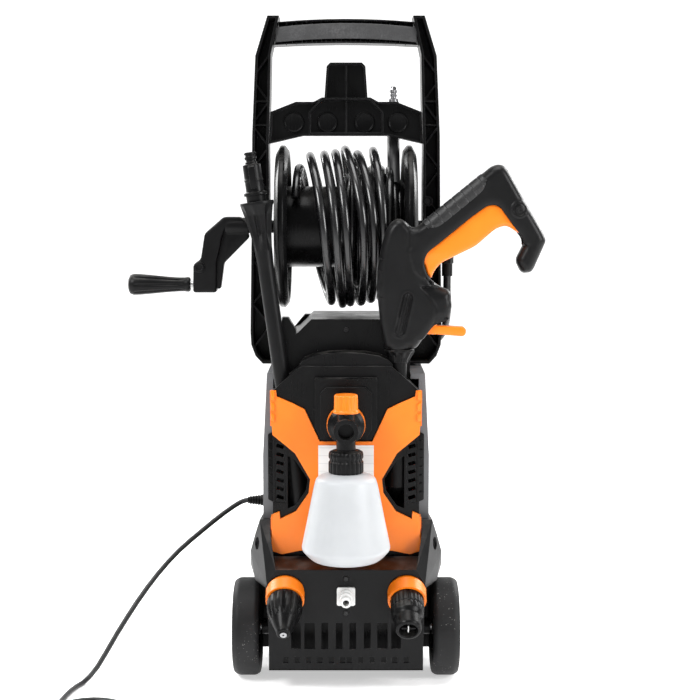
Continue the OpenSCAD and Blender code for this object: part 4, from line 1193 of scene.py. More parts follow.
@dataclass
class ReelHose:
    """The high-pressure hose: turns on the drum, the end in its sleeve, the feed hose.

    The loose loops are given as place across and radius at each quarter turn: behind, top, front,
    bottom.
    """

    centre: tuple[float, float] = (60.0, 608.0)
    loops: tuple[tuple[float, float], ...] = (
        (54.0, 92.0), (37.6, 108.5), (52.0, 101.0), (46.0, 99.0),
        (30.0, 99.0), (15.5, 103.5), (38.7, 103.0), (34.5, 104.0),
        (14.0, 100.0), (-2.0, 110.0), (24.0, 104.0), (20.5, 108.0),
        (0.0, 100.0), (-15.5, 105.0), (0.3, 103.0), (6.0, 109.0),
        (-12.0, 100.0), (-31.0, 103.0), (-14.4, 105.0), (-5.0, 111.0),
        (-30.0, 101.0), (-51.0, 101.0), (-30.7, 104.0), (-21.0, 107.0),
        (-52.0, 100.0), (-66.0, 84.0),
    )
    radius: float = 6.1
    drum: float = 57.0

    def _layer(self, r: float, x0: float, x1: float, start: float) -> tuple[Points, float]:
        """One tight layer of turns.

        Args:
            r: Its radius.
            x0: Where it starts across.
            x1: Where it ends.
            start: Its first angle, in turns.

        Returns:
            Radius, across and angle rows, and the last angle.
        """
        turns = abs(x1 - x0) / (2 * self.radius + 0.5)
        s = np.linspace(0.0, 1.0, int(turns * 40))
        return np.stack(
            [np.full_like(s, r), x0 + (x1 - x0) * s, start + turns * s], -1,
        ), start + turns

    def windings(self) -> Points:
        """Three tight layers, then loose loops through their places, and a last dip to the drum.

        Each point is the centre plus its radius times sine and cosine of its angle. The whole line
        is then averaged over nine points.

        Returns:
            Centreline points in millimetres.
        """
        first, a = self._layer(self.drum + self.radius + 0.2, 76.0, -12.0, 0.0)
        second, a = self._layer(self.drum + 3.05 * self.radius, -8.0, 70.0, a + 0.3)
        third, a = self._layer(self.drum + 5.1 * self.radius, 66.0, 2.0, a + 0.3)
        legs = smooth_path(self.loops, 26)
        start = math.ceil(a) - 0.25
        angle = start + np.linspace(0.0, (len(self.loops) - 1) / 4.0, len(legs))
        loose = np.stack([legs[:, 1], legs[:, 0], angle], -1)
        inward = np.linspace(0.0, 1.0, 20)[1:]
        down = np.stack(
            [loose[-1, 0] - 16 * inward**1.4, loose[-1, 1] - 4 * inward, angle[-1] + 0.16 * inward],
            -1,
        )
        rows = np.concatenate([first, second, third, loose, down])
        turn = 2 * math.pi * rows[:, 2]
        path = np.stack(
            [
                rows[:, 1], self.centre[0] - rows[:, 0] * np.sin(turn),
                self.centre[1] + rows[:, 0] * np.cos(turn),
            ], -1
        )
        kernel = np.ones(9) / 9.0
        soft = np.stack(
            [np.convolve(np.pad(path[:, k], 4, "edge"), kernel, "valid") for k in range(3)], -1,
        )
        return soft

    def build(self) -> None:
        """Makes the turns, the loose end, its sleeve and the feed hose."""
        make_piece(
            "hose_turns",
            [(tube(self.windings(), self.radius, (1.0, 0.0, 0.0), 12), *CAPPED)],
            "reel", HOSE, ("hose_coil",),
        )
        end = smooth_path(
            [(67, 21, 665), (67, 5, 642), (66, -7, 618), (63, -12, 592), (59, -8, 566)], 10
        )
        make_piece(
            "hose_end", [(tube(end, 5.2, (1, 0, 0.1), 16), *CAPPED)],
            "machine", HOSE, ("hose_tail",),
        )
        path = smooth_path([(67, 69, 782), (67, 69, 740), (67, 51, 700), (67, 21, 665)], 14)
        s = np.linspace(0.0, 1.0, len(path))
        girth = 8.7 + 0.5 * np.clip(1 - s * 12, 0, 1) + 0.4 * np.clip(s * 14 - 13, 0, 1)
        make_piece(
            "bend_sleeve", [(tube(path, girth, (1, 0, 0.1), 24), *CAPPED)],
            "machine", SLEEVE, ("hose_sleeve",), 60.0,
        )
        plug = [
            (2.4, 0), (4.0, 0), (4.0, 14), (7.4, 14.6), (8, 16), (8, 20), (4.6, 21.6), (4.6, 24.5),
            (5.6, 25.2),
            (5.6, 27.4), (4.7, 27.9), (4.7, 29.3), (5.6, 29.8), (5.6, 33.6), (5.1, 35), (4, 38),
            (2.4, 38),
        ]
        make_piece(
            "hose_plug", [(turned(plug, (67.0, 69.0, 767.0), Axis.UP.turn, 0.3, 48), *LOOPED)],
            "machine", STEEL, ("hose_connector",),
        )
        feed = smooth_path(
            [
                (144, 60, 538), (144, 60, 515), (145, 64, 494), (144, 75, 473), (141, 94, 455),
                (128, 100, 440), (110, 100, 432), (100, 98, 430), (87.4, 98, 430),
            ],
            8,
        )
        make_piece(
            "feed_line", [(tube(feed, 5.5, (0.3, 0.2, 0.93), 16), *CAPPED)],
            "machine", HOSE, ("feed_hose",),
        )


# -------------------------------------------------------------------- wheels
@dataclass
class Wheels:
    """Two plastic wheels with a ribbed running face and spoked discs."""

    across: float = 115.0
    axle: tuple[float, float] = (-72.0, 66.0)
    radius: float = 66.0
    width: float = 38.0

    def _tyre(self, side: int) -> Points:
        """The tyre: a closed band whose running face has shallow cross ribs, a cosine of the angle.

        Args:
            side: -1 for the left wheel, 1 for the right.

        Returns:
            Points (rows, around, 3).
        """
        r, w = self.radius, self.width
        profile = [
            (r - 16, 4), (r - 8, 0.5), (r - 3.5, 1.5), (r - 0.6, 6), (r, 9), (r, w - 10), (
                r - 0.6, w - 7,
            ),
            (r - 4, w - 1.5), (r - 9, w - 0.4), (r - 15, w - 0.8), (r - 17, w - 5), (r - 17, 8),
        ]
        turn = outward(side)
        return turned(
            profile, (side * self.across, *self.axle), turn, 1.6, 120, (60, 0.35, 7.0, w - 8.0),
        )

    def _disc(self, side: int) -> list[Grid]:
        """The disc with its hub.

        Args:
            side: -1 for the left wheel, 1 for the right.

        Returns:
            The disc's grid.
        """
        r, w = self.radius, self.width
        turn = outward(side)
        at = (side * self.across, *self.axle)
        disc = [
            (5.06, 2), (11, 2), (11, 6), (16, 6), (16, 15), (
                r - 17.5, 15,
            ), (r - 17.5, 22), (17, 22),
            (15, w - 6), (11, w - 6), (11, w - 10), (5.06, w - 10),
        ]
        return [(turned(disc, at, turn, 0.8, 72), *LOOPED)]

    def _ribs(self, side: int) -> list[Grid]:
        """Six spokes on the outer face: boxes with rounded ends, turned about the axle."""
        plate = Outline([(18, 20), (47, 20), (47, 28), (18, 32)], 1.5, 4).slab(-3.0, 3.0, 0.8, 3)
        return spokes(plate, 6, math.pi / 6, side, (side * self.across, *self.axle))

    def build(self) -> None:
        """Makes both wheels."""
        for side, body, node in ((-1, "wheel_l", "wheel_left"), (1, "wheel_r", "wheel_right")):
            make_piece(f"{node}_tyre", [(self._tyre(side), *LOOPED)], body, TYRE, (node,))
            make_piece(f"{node}_disc", self._disc(side) + self._ribs(side), body, CHARCOAL)


# ------------------------------------------------------------------ spray gun
GUN_LINE = [
    (52, 446), (46, 480), (41, 526), (42, 556), (47, 584), (53, 606), (60, 617), (69, 622),
    (78, 619),
    (84, 612), (92, 609), (100, 615), (192, 690), (200, 693), (208, 692), (214, 686), (238, 644),
    (263, 601), (266, 592), (250, 555), (246, 550), (236, 549), (232, 552), (225, 566), (236, 588),
    (234, 596), (226, 606), (214, 622), (204, 636), (196, 640), (186, 638), (165, 623), (126, 591),
    (108, 577), (103, 565), (106, 552), (112, 541), (126, 531), (140, 526), (141, 500), (138, 487),
    (118, 481), (108, 468), (93, 447),
]
TRIGGER_LINE = [
    (107, 548), (113, 541), (117, 552), (126, 563), (172, 585), (197, 607), (207, 611.5),
    (216, 611),
    (231, 601), (226, 611), (207, 638), (198, 642), (186, 641), (165, 626), (124, 592), (107, 580),
    (92, 574), (92, 566), (103, 563),
]


@dataclass
class SprayGun:
    """The gun: two sculpted shells, grip rubber, trigger and small details.

    Each half shell is a closed skin over the outline. Its outer side stands at a height h(x, z)
    from the middle plane, its inner side at b(x, z).
    """

    middle: float = -76.0
    half: float = 17.0
    edge: float = 11.0
    boss: tuple[float, float] = (229.0, 634.0)
    slot_top: tuple[float, float] = (82.0, 517.0)
    slot_low: tuple[float, float] = (71.5, 472.0)
    collar: tuple[tuple[float, float], ...] = (
        (80, 630), (86, 600), (84, 575), (90, 552), (103, 540), (120, 535), (300, 535), (300, 720),
        (80, 720),
    )
    room: tuple[tuple[float, float], ...] = (
        (88, 578), (88, 562), (98, 556), (106, 545), (116, 536), (170, 570), (245, 590), (236, 606),
        (216, 640),
        (206, 660), (186, 665), (158, 643), (116, 606), (100, 592),
    )
    crease: tuple[tuple[float, float], ...] = (
        (98.7, 532), (112, 518), (120, 503), (117, 487), (112, 474),
    )

    def _slot(self, points: Points) -> tuple[Points, Points]:
        """Each point's place along the slot panel's middle line, and its distance from that line.

        Args:
            points: Points (n, 2).

        Returns:
            Two rows of distances (n,).
        """
        a, b = np.array(self.slot_top), np.array(self.slot_low)
        length = float(np.linalg.norm(b - a))
        along = (b - a) / length
        place = (points - a) @ along
        across = (points - a) @ np.array([-along[1], along[0]])
        over = place - np.clip(place, 0.0, length)
        return across, np.hypot(across, over)

    def inner(self, points: Points) -> Points:
        """Height of the inner side: rooms for the trigger, the lever, the hose's bore and the
        muzzle.

        Args:
            points: Points (n, 2) in X and Z.

        Returns:
            Heights (n,).
        """
        x, z = points[:, 0], points[:, 1]
        b = np.where(depth_in(points, np.array(self.room, float)) > -1.0, 12.6, 0.1)
        b = np.maximum(b, np.where((x > 96) & (x < 160) & (z > 461) & (z < 489), 9.2, 0.1))
        bore = np.sqrt(np.clip(5.7**2 - (z - 507) ** 2, 0.01, None))
        b = np.maximum(b, np.where(x > 108, bore, 0.1))
        muzzle = np.sqrt(np.clip(12.5**2 - (x - 70) ** 2, 0.01, None))
        return np.maximum(b, np.where(z < 490, muzzle, 0.1))

    def outer(self, points: Points, outline: Points, detailed: bool) -> Points:
        """Height of the outer side.

        A quarter-round rises from the rim over the edge width. On top of that come the raised
        handle, a valley under its root, the round hose end, the slot panel and the screw boss.

        Args:
            points: Points (n, 2) in X and Z.
            outline: The closed outline.
            detailed: Whether the small details are cut in.

        Returns:
            Heights (n,).
        """
        x, z = points[:, 0], points[:, 1]
        deep = np.clip(depth_in(points, outline), 0.0, None)
        low = np.maximum(2.0, self.inner(points) + 1.5)
        rise = np.sqrt(np.clip(1.0 - (1.0 - np.clip(deep / self.edge, 0.0, 1.0)) ** 2, 0.0, 1.0))
        top = np.full_like(x, self.half - 1.6)
        top += 1.6 * ramp(depth_in(points, np.array(self.collar, float)), -0.9, 0.9)
        top -= 1.8 * np.exp(
            -((distance(points, np.array([(86.0, 612.0), (86.0, 585.0)]), False) / 4.5) ** 2)
        )
        crease = np.array(self.crease, float)
        right = ramp(
            depth_in(points, np.concatenate([crease, [(160.0, 474.0), (160.0, 532.0)]])), -0.5, 2.5,
        )
        end = 5.0 + 11.0 * np.sqrt(np.clip(1.0 - ((z - 506.0) / 27.0) ** 2, 0.0, 1.0))
        top = top * (1 - right) + np.minimum(top, end) * right
        top -= 1.0 * np.exp(-((distance(points, crease, False) / 1.5) ** 2))
        if detailed:
            across, off = self._slot(points)
            floor = 1.8 * (1.0 - ramp(off, 6.2, 7.2))
            ribs = np.exp(-((across / 1.0) ** 2)) + np.exp(-(((np.abs(across) - 3.6) / 0.9) ** 2))
            top += 0.7 * np.exp(
                -(((off - 8.2) / 0.9) ** 2)
            ) - floor + 1.5 * ribs * (1.0 - ramp(off, 4.6, 5.6))
            away = np.hypot(x - self.boss[0], z - self.boss[1])
            cross = np.minimum(np.abs(x - self.boss[0]), np.abs(z - self.boss[1]))
            top += 1.5 * ramp(away, 8.0, 8.9) * (1.0 - ramp(away, 11.2, 12.2))
            top -= 1.4 * (1.0 - ramp(away, 7.4, 8.3)) - 0.9 * (1.0 - ramp(away, 4.2, 5.0))
            top -= 1.0 * (1.0 - ramp(cross, 0.5, 1.1)) * (1.0 - ramp(away, 3.0, 3.8))
        return low + np.clip(top - low, 0.6, None) * rise

    def _sites(self, shape: "Outline") -> Points:
        """Where the skin has points: rings inside the outline, a grid, and finer ones round the
        panel and the boss.

        Args:
            shape: The gun's outline.

        Returns:
            Points (n, 2), the outline's first.
        """
        sites = [shape.line]
        last = 0.0
        for inset in (0.5, 1.3, 2.6, 4.4, 6.8):
            keep = shape.reach > last + 0.25
            amount = np.minimum(inset, shape.reach)[keep, None]
            sites.append(shape.line[keep] - shape.normal[keep] * amount)
            last = inset
        x, z = np.meshgrid(np.arange(36.0, 272.0, 2.1), np.arange(440.0, 700.0, 2.1))
        grid = np.stack([x.ravel(), z.ravel()], -1)
        _, off = self._slot(grid)
        away = np.hypot(*(grid - np.array(self.boss)).T)
        grid = grid[(depth_in(grid, shape.line) > 8.0) & (off > 11.0) & (away > 14.2)]
        a, b = np.array(self.slot_top), np.array(self.slot_low)
        length = float(np.linalg.norm(b - a))
        along = (b - a) / length
        out = np.array([-along[1], along[0]])
        u = np.array(
            [
                -9.6, -8.2, -7.2, -6.2, -5.0, -4.3, -3.6, -2.9, -1.8, -1.0, 0.0, 1.0, 1.8, 2.9, 3.6,
                4.3, 5.0, 6.2, 7.2, 8.2, 9.6,
            ]
        )
        t = np.linspace(0.0, length, 24)
        bars = a + t[:, None, None] * along + u[None, :, None] * out
        angle = np.linspace(0.0, math.pi, 22)[1:-1]
        rim = np.array([2.0, 3.6, 5.0, 6.2, 7.2, 8.2, 9.6])
        cap = rim[:, None, None] * (
            np.cos(angle)[None, :, None] * out + np.sin(angle)[None, :, None] * along
        )
        turn = np.linspace(0.0, 2.0 * math.pi, 44, endpoint=False)
        ring = np.array([0.4, 1.1, 2.2, 3.2, 4.2, 5.0, 6.4, 7.4, 8.2, 8.9, 10.0, 11.2, 12.2, 13.2])
        dial = np.array(self.boss) + ring[:, None, None] * np.stack(
            [np.cos(turn), np.sin(turn)], -1,
        )
        extra = np.concatenate(
            [
                grid, bars.reshape(-1, 2), (b + cap).reshape(-1, 2), (a - cap).reshape(-1, 2),
                dial.reshape(-1, 2),
            ]
        )
        sites.append(extra[depth_in(extra, shape.line) > 0.6])
        return np.concatenate(sites)

    def _shell(self, side: int) -> tuple[Points, Points]:
        """One half shell as a closed skin.

        Args:
            side: -1 for the operator's half, 1 for the other.

        Returns:
            Points and triangles.
        """
        shape = Outline(GUN_LINE, 7.0, 6, 2.5)
        sites = self._sites(shape)
        edge = list(range(len(shape.line)))
        flat, _, faces, *_ = delaunay_2d_cdt(
            [Vector(p) for p in sites.tolist()], [], [edge], 1, 1e-4,
        )
        flat, faces = np.array([tuple(v) for v in flat]), np.array(faces)
        high = self.outer(flat, shape.line, side < 0)
        low = np.minimum(self.inner(flat), high - 0.8)
        near = np.stack([flat[:, 0], self.middle + side * high, flat[:, 1]], -1)
        far = np.stack([flat[:, 0], self.middle + side * low, flat[:, 1]], -1)
        pairs = np.concatenate([faces[:, [0, 1]], faces[:, [1, 2]], faces[:, [2, 0]]])
        code = pairs[:, 0].astype(np.int64) * len(flat) + pairs[:, 1]
        back = pairs[:, 1].astype(np.int64) * len(flat) + pairs[:, 0]
        rim = pairs[~np.isin(code, back)]
        n = len(flat)
        wall = np.concatenate([
            np.stack([rim[:, 1], rim[:, 0], rim[:, 0] + n], -1), np.stack(
                [rim[:, 1], rim[:, 0] + n, rim[:, 1] + n], -1,
            ),
        ])
        return np.concatenate([near, far]), np.concatenate([faces, faces[:, ::-1] + n, wall])

    def build(self) -> None:
        """Makes every piece of the gun."""
        make_piece(
            "gun_half_front", [], "gun", GUN_BLACK, ("gun_shell_front",), 60.0, [self._shell(-1)],
        )
        make_piece(
            "gun_half_back", [], "gun", GUN_BLACK, ("gun_shell_back",), 60.0, [self._shell(1)],
        )
        self._rubber()
        blade = Outline(TRIGGER_LINE, 7.0, 5, 3.0).slab(
            self.middle - 12.0, self.middle + 12.0, 5.0, 7,
        )
        lever = [
            (101, 480), (110, 482.5), (119, 482.5), (121.5, 479), (157, 477.5), (160.5, 474),
            (160, 467.5),
            (156, 464.5), (126, 467), (112, 467.5), (101, 468),
        ]
        stirrup = Outline(lever, 2.5, 5, 2.5).slab(self.middle - 8.5, self.middle + 8.5, 2.2, 5)
        make_piece("release_lever", [(stirrup, *CAPPED)], "latch", ORANGE, ("gun_latch",), 50)
        make_piece("trigger_blade", [(blade, *CAPPED)], "trigger", ORANGE, ("gun_trigger",), 50)
        self._skirt()

    def _rubber(self) -> None:
        """The grip pad: a rounded cross-section carried along the handle's back, with cross
        grooves.

        At a place s along the pad the section is a flat top with quarter-rounds of 11.5 mm down
        both sides. Seven grooves lower it by 0.9 mm, and its lower edges rise in a quarter-round at
        both ends.
        """
        a, b = np.array([100.0, 615.0]), np.array([192.0, 690.0])
        along = (b - a) / np.linalg.norm(b - a)
        out = np.array([-along[1], along[0]])
        length = float(np.linalg.norm(b - a))
        s = np.linspace(0.02, 0.86, 190) * length
        share = (s - s[0]) / (s[-1] - s[0])
        groove = 0.9 * np.exp(-((((share * 7.0) % 1.0 - 0.5) / 0.055) ** 2))
        drop = 17.0 * np.sqrt(np.clip(1.0 - np.abs(2.0 * share - 1.0) ** 7, 0.02, 1.0))
        turn = np.linspace(0.0, math.pi / 2, 12)
        side, high = self.half + 0.9, 0.9
        y = np.concatenate([[side - 2.0, side - 0.5, side], side - 11.5 + 11.5 * np.cos(turn)])
        y = np.concatenate([y, -y[::-1]])
        arc = high - 11.5 + 11.5 * np.sin(turn)
        row = np.concatenate([[-1.6, -0.8, 0.0], arc])
        low = np.arange(len(row)) < 3
        row, low = np.concatenate([row, row[::-1]]), np.concatenate([low, low[::-1]])
        level = row[None] - low[None] * drop[:, None]
        middle = np.array([0.0, -9.0])
        reach = np.hypot(y[None] - middle[0], level - middle[1])
        pull = 1.0 - groove[:, None] / np.maximum(reach, 1.0)
        wide = middle[0] + (y[None] - middle[0]) * pull
        tall = middle[1] + (level - middle[1]) * pull
        grid = np.stack([
            a[0] + along[0] * s[:, None] + out[0] * tall, self.middle + wide,
            a[1] + along[1] * s[:, None] + out[1] * tall,
        ], -1)
        make_piece("grip_pads", [(grid, *CAPPED)], "gun", RUBBER, ("gun_rubber",), 50)

    def _skirt(self) -> None:
        """The slotted skirt under the gun, and light notches at its left edge."""
        profile = [(9.0, 446.5), (20.5, 446.5), (20.5, 443), (11.4, 428.5), (10.6, 427), (9.0, 427)]
        skirt = turned(profile, (0, 0, 0), np.eye(3), 0.7, 120, (12, 2.4, 428.0, 445.0), 0.6)
        skirt = skirt * np.array([1.0, 0.78, 1.0]) + np.array([71.5, self.middle, 0.0])
        marks = []
        for z in (568.0, 551.5, 534.0, 516.0):
            box = [(43.5, z - 0.6), (54.0, z - 2.5), (54.0, z - 1.2), (43.5, z + 1.4)]
            marks.append(
                (Outline(box, 0.5, 3).slab(self.middle - 14.6, self.middle - 8.0, 0.4, 3), *CAPPED)
            )
        make_piece("gun_skirt", [(skirt, *LOOPED)], "gun", BLACK)
        make_piece("gun_marks", marks, "gun", CHARCOAL)


# ---------------------------------------------------------- lance and nozzles
@dataclass
class Lance:
    """The stored lance: tube with a fluted collar, and its bayonet head."""

    foot: tuple[float, float, float] = (-82.0, -76.0, 376.0)
    lean: float = 7.8

    def turn(self) -> Points:
        """The lance's own axes."""
        a = math.radians(self.lean)
        return leaning((-math.sin(a), 0.0, math.cos(a)))

    def build(self) -> None:
        """Makes the tube and the head."""
        tube_profile = [
            (0, -150), (9.2, -150), (10.8, -147), (10.8, 186), (11.6, 204), (14.5, 228),
            (19.0, 252),
            (22.4, 267), (22.4, 270), (20.8, 270.4), (17.0, 262), (13.5, 261), (0, 261),
        ]
        make_piece(
            "lance_pipe",
            [
                (
                    turned(
                        tube_profile, self.foot, self.turn(), 2.0, 144, (
                            9, 4.6, 207.0, 265.0,
                        ), 0.45,
                    ),
                    *POLED,
                )
            ],
            "lance", CHARCOAL, ("lance_tube",),
        )
        z = 204.0
        head = [
            (0, z + 58), (13, z + 58), (13, z + 74.5), (15.5, z + 75), (
                15.5, z + 78.5,
            ), (12, z + 79.5),
            (12, z + 93), (
                12.6, z + 93.5,
            ), (12.6, z + 96), (12, z + 96.5), (12, z + 115.5), (8, z + 116.5),
            (8, z + 119), (
                6.6, z + 119.5,
            ), (6.6, z + 122), (8, z + 122.5), (8, z + 126), (6.8, z + 126.5),
            (
                6.8, z + 128.5,
            ), (8, z + 129), (8, z + 131), (7.2, z + 132), (5.2, z + 132), (5.0, z + 116),
            (0, z + 116),
        ]
        turn = self.turn()
        grids = [(turned(head, self.foot, turn, 0.5, 56), *POLED)]
        for a in (90.0, 270.0):
            u = turn @ np.array([math.cos(math.radians(a)), math.sin(math.radians(a)), 0.0])
            v = turn @ np.array([-math.sin(math.radians(a)), math.cos(math.radians(a)), 0.0])
            w = turn[:, 2]
            plate = Outline(
                [(10.5, z + 84), (15.4, z + 84), (15.4, z + 112), (13.6, z + 114), (10.5, z + 114)],
                0.8, 3,
            )
            slab = plate.slab(-4.3, 4.3, 0.6, 3)
            grids.append(
                (
                    slab[..., 0:1] * u + slab[..., 1:2] * v + slab[..., 2:3] * w + np.array(self.foot),
                    *CAPPED,
                )
            )
        make_piece("lance_head", grids, "lance", BLACK, ("lance_fitting",))


@dataclass
class Nozzles:
    """The stored turbo nozzle and the adjustable nozzle."""

    across: float = 80.0
    front: float = -152.0
    high: float = 128.0
    tilt: float = 30.0

    def turn(self) -> Points:
        """The nozzles' own axes."""
        a = math.radians(self.tilt)
        return leaning((0.0, -math.cos(a), -math.sin(a)))

    def build(self) -> None:
        """Makes both nozzles; the turbo's vents are deep flutes in its widest part."""
        turbo = [
            (0, -27), (10, -27), (10, -9), (19.5, -6), (20.5, 7), (22.6, 9), (23.5, 13), (23.5, 24),
            (21, 36), (17.2, 46), (13, 56), (10.4, 62), (9.2, 66), (7.8, 68), (4.7, 68), (4.6, 60),
            (0, 60),
        ]
        make_piece(
            "turbo_body",
            [
                (
                    turned(
                        turbo, (-self.across, self.front, self.high), self.turn(), 1.2, 120,
                        (12, 3.4, 9.0, 40.0),
                    ),
                    *POLED,
                )
            ],
            "turbo", BLACK, ("turbo_nozzle",),
        )
        vario = [
            (0, -27), (10, -27), (10, -9), (19.5, -6), (20.5, 7), (21.6, 9), (22, 13), (22, 24),
            (21.2, 25),
            (21.2, 26.5), (21.8, 27.5), (20.8, 36), (18.2, 40), (17.4, 42), (17.2, 58), (16, 61),
            (12.6, 62),
            (11.6, 60), (11, 52), (9.2, 50.5), (9.0, 50), (0, 50),
        ]
        make_piece(
            "vario_body",
            [
                (
                    turned(
                        vario, (self.across, self.front, self.high), self.turn(), 0.9, 120,
                        (20, 1.2, 8.0, 34.0),
                    ),
                    *POLED,
                )
            ],
            "vario", BLACK, ("vario_nozzle",),
        )
        self._outlet()

    def _outlet(self) -> None:
        """The adjustable nozzle's end: a dark dish with a cross of four webs, and a white blade in
        it."""
        turn, at = self.turn(), np.array([self.across, self.front, self.high])

        def set_in(slab: Points) -> Grid:
            """A slab drawn in the nozzle's own axes, put in its place."""
            return slab @ turn.T + at, *CAPPED

        dish = [(0, 50.4), (10.6, 50.4), (10.9, 52), (10.2, 52.6), (0, 51.6)]
        web = Outline(
            [(-10.2, 51), (10.2, 51), (9.8, 57.5), (-9.8, 57.5)], 0.8, 3,
        ).slab(-1.3, 1.3, 0.4, 3)
        other = web[..., [1, 0, 2]] * np.array([1.0, -1.0, 1.0])
        grids = [(turned(dish, at, turn, 0.3, 40), *POLED), set_in(web), set_in(other)]
        blade = Outline(
            [(-0.8, 52), (0.8, 52), (0.7, 58.6), (-0.7, 58.6)], 0.3, 3,
        ).slab(-5.6, 5.6, 0.25, 3)
        make_piece("vario_cross", grids, "vario_tip", BLACK)
        make_piece("vario_blade", [set_in(blade)], "vario_tip", WHITE, ("vario_insert",))


# ----------------------------------------------------------------- foam bottle
@dataclass
class FoamSet:
    """The foam bottle, its cap and the dosing knob."""

    depth: float = -165.0
    cap_low: float = 295.0

    def build(self) -> None:
        """Makes bottle, cap and knob."""
        at = (0.0, self.depth, 0.0)
        up = Axis.UP.turn
        c = self.cap_low
        bottle = [
            (14, c + 18), (19, c + 18), (19, c + 1), (24, c - 1), (33, c - 3), (38.5, c - 7), (
                40.4, c - 13,
            ),
            (42.5, c - 22), (50, c - 60), (57, c - 94), (57.6, c - 98), (
                56.4, c - 101.5,
            ), (50, c - 108.5),
            (45, c - 113), (40, c - 115.4), (33, c - 116), (0, c - 115),
        ]
        inner = [
            (0, c - 113.2), (32, c - 114), (
                38, c - 113.4,
            ), (43, c - 111), (54, c - 100), (55, c - 97), (48, c - 60),
            (40.6, c - 22), (38, c - 13), (35, c - 9), (14, c - 4), (14, c + 18),
        ]
        make_piece(
            "bottle_shell",
            [(turned(bottle, at, up, 3.2, 96), *POLED), (turned(inner, at, up, 1.5, 96), *POLED)],
            "bottle", BOTTLE, ("foam_bottle",), 60.0,
        )
        cap = [
            (13, c + 30), (17, c + 30), (21.4, c + 28), (22.6, c + 25), (
                22.6, c + 20.5,
            ), (21.2, c + 18.6),
            (21.2, c + 16.6), (
                22.8, c + 14.5,
            ), (22.8, c + 2), (21.8, c + 0.3), (19.7, c + 0.2), (19.6, c + 23), (13, c + 24),
        ]
        make_piece(
            "bottle_cap",
            [(turned(cap, at, up, 0.8, 120, (20, 1.1, c - 2.0, c + 31.0)), *LOOPED)],
            "foam_lance", BLACK, ("foam_cap",),
        )
        k = 372.4
        knob = [
            (5.06, k), (16.6, k), (17, k + 1), (17, k + 3), (15.6, k + 4), (
                15.4, k + 22,
            ), (14.4, k + 24),
            (3.2, k + 24), (2.4, k + 22.4), (0, k + 22.4),
        ]
        socket = [(0, k + 19), (5.06, k + 19), (5.06, k)]
        spot = (0.0, self.depth + 5.0, 0.0)
        make_piece(
            "dosing_knob",
            [
                (turned(knob, spot, up, 0.7, 128, (16, 1.1, k + 3.6, k + 24.5)), *POLED),
                (turned(socket, spot, up, 0.1, 128), *POLED),
            ],
            "foam_dial", ORANGE, ("foam_knob",),
        )


# ---------------------------------------------------------------- reel and grip
@dataclass
class CrankKnob:
    """The turning grip on the crank, swelling to its end, with eight long flutes."""

    start: float = -221.5
    depth: float = 60.0
    high: float = 526.0

    def build(self) -> None:
        """Makes the grip."""
        profile = [
            (5.06, 0), (8.6, 0), (10.2, 1.4), (10.6, 4), (9.9, 8), (10.2, 18), (11.4, 34),
            (13.4, 54), (15, 72),
            (15.2, 80), (13.6, 85.6), (9, 88), (0, 88.2),
        ]
        bore = [(0, 83), (5.06, 83), (5.06, 0)]
        at = (self.start, self.depth, self.high)
        left = Axis.LEFT.turn
        make_piece(
            "crank_grip",
            [
                (turned(profile, at, left, 1.5, 120, (8, 1.7, 12.0, 80.0)), *POLED),
                (turned(bore, at, left, 0.1, 120), *POLED),
            ],
            "crank_grip", CHARCOAL, ("crank_knob",),
        )


@dataclass
class Crank:
    """The crank arm: a stepped front plate, a thinner brace behind it, the hub and the screw's
    boss."""

    depth: float = 60.0

    def build(self) -> None:
        """Makes the arm."""
        plate = [
            (-173, 622), (-148.5, 622), (-141, 613.6), (
                -167.6, 611.8,
            ), (-175, 593), (-178, 577.7), (-182.8, 558.7),
            (-183.6, 515), (-217, 515), (-216.4, 555), (-205.7, 562.6), (-200, 598.6),
        ]
        brace = [
            (-148, 618), (-141, 613.6), (-137, 593), (-173, 556.6), (-178, 520), (-186, 520),
            (-186, 575), (-168, 618),
        ]
        grids = [
            (Outline(plate, 4.0, 5, 4.0).slab(self.depth - 13, self.depth + 13, 3.0, 5), *CAPPED),
            (Outline(brace, 3.0, 4, 4.0).slab(self.depth - 8, self.depth + 8, 2.0, 4), *CAPPED),
        ]
        left = Axis.LEFT.turn
        hub = [(9.3, 0), (13, 0), (13, 30), (12, 34), (9.3, 34)]
        grids.append((turned(hub, (-138.0, self.depth, 608.0), left, 0.8, 48), *LOOPED))
        boss = [(0, 0), (7.8, 0), (7.8, 1.8), (6.2, 2.6), (4.6, 2.6), (4.4, 1.2), (0, 1.2)]
        front = Axis.FRONT.turn
        grids.append((turned(boss, (-207.6, self.depth - 12.9, 551.0), front, 0.4, 40), *POLED))
        make_piece("crank_web", grids, "reel", CHARCOAL, ("crank_arm",))


@dataclass
class Flanges:
    """The reel's two flanges: a dished disc with a stepped, chamfered rim and radial ribs on its
    outer face."""

    centre: tuple[float, float] = (60.0, 608.0)

    def build(self) -> None:
        """Makes both flanges."""
        profile = [
            (103, 98), (113.5, 92.5), (114.5, 91), (114.5, 86), (113, 84.5), (107, 80), (104, 80),
            (103, 81),
            (103, 87), (9.2, 87), (9.2, 90.5), (99, 90.5), (100, 91.5), (100, 97), (101, 98),
        ]
        for side, node in ((-1, "flange_left"), (1, "flange_right")):
            turn = outward(side)
            at = (0.0, *self.centre)
            grids = [(turned(profile, at, turn, 1.0, 120), *LOOPED)]
            plate = Outline(
                [(22, 89.5), (100, 89.5), (100, 96.0), (22, 93.0)], 1.0, 3,
            ).slab(-1.2, 1.2, 0.4, 3)
            grids += spokes(plate, 12, 0.2, side, at)
            make_piece(f"{node}_disc", grids, "reel", BLACK_SATIN, (node,))


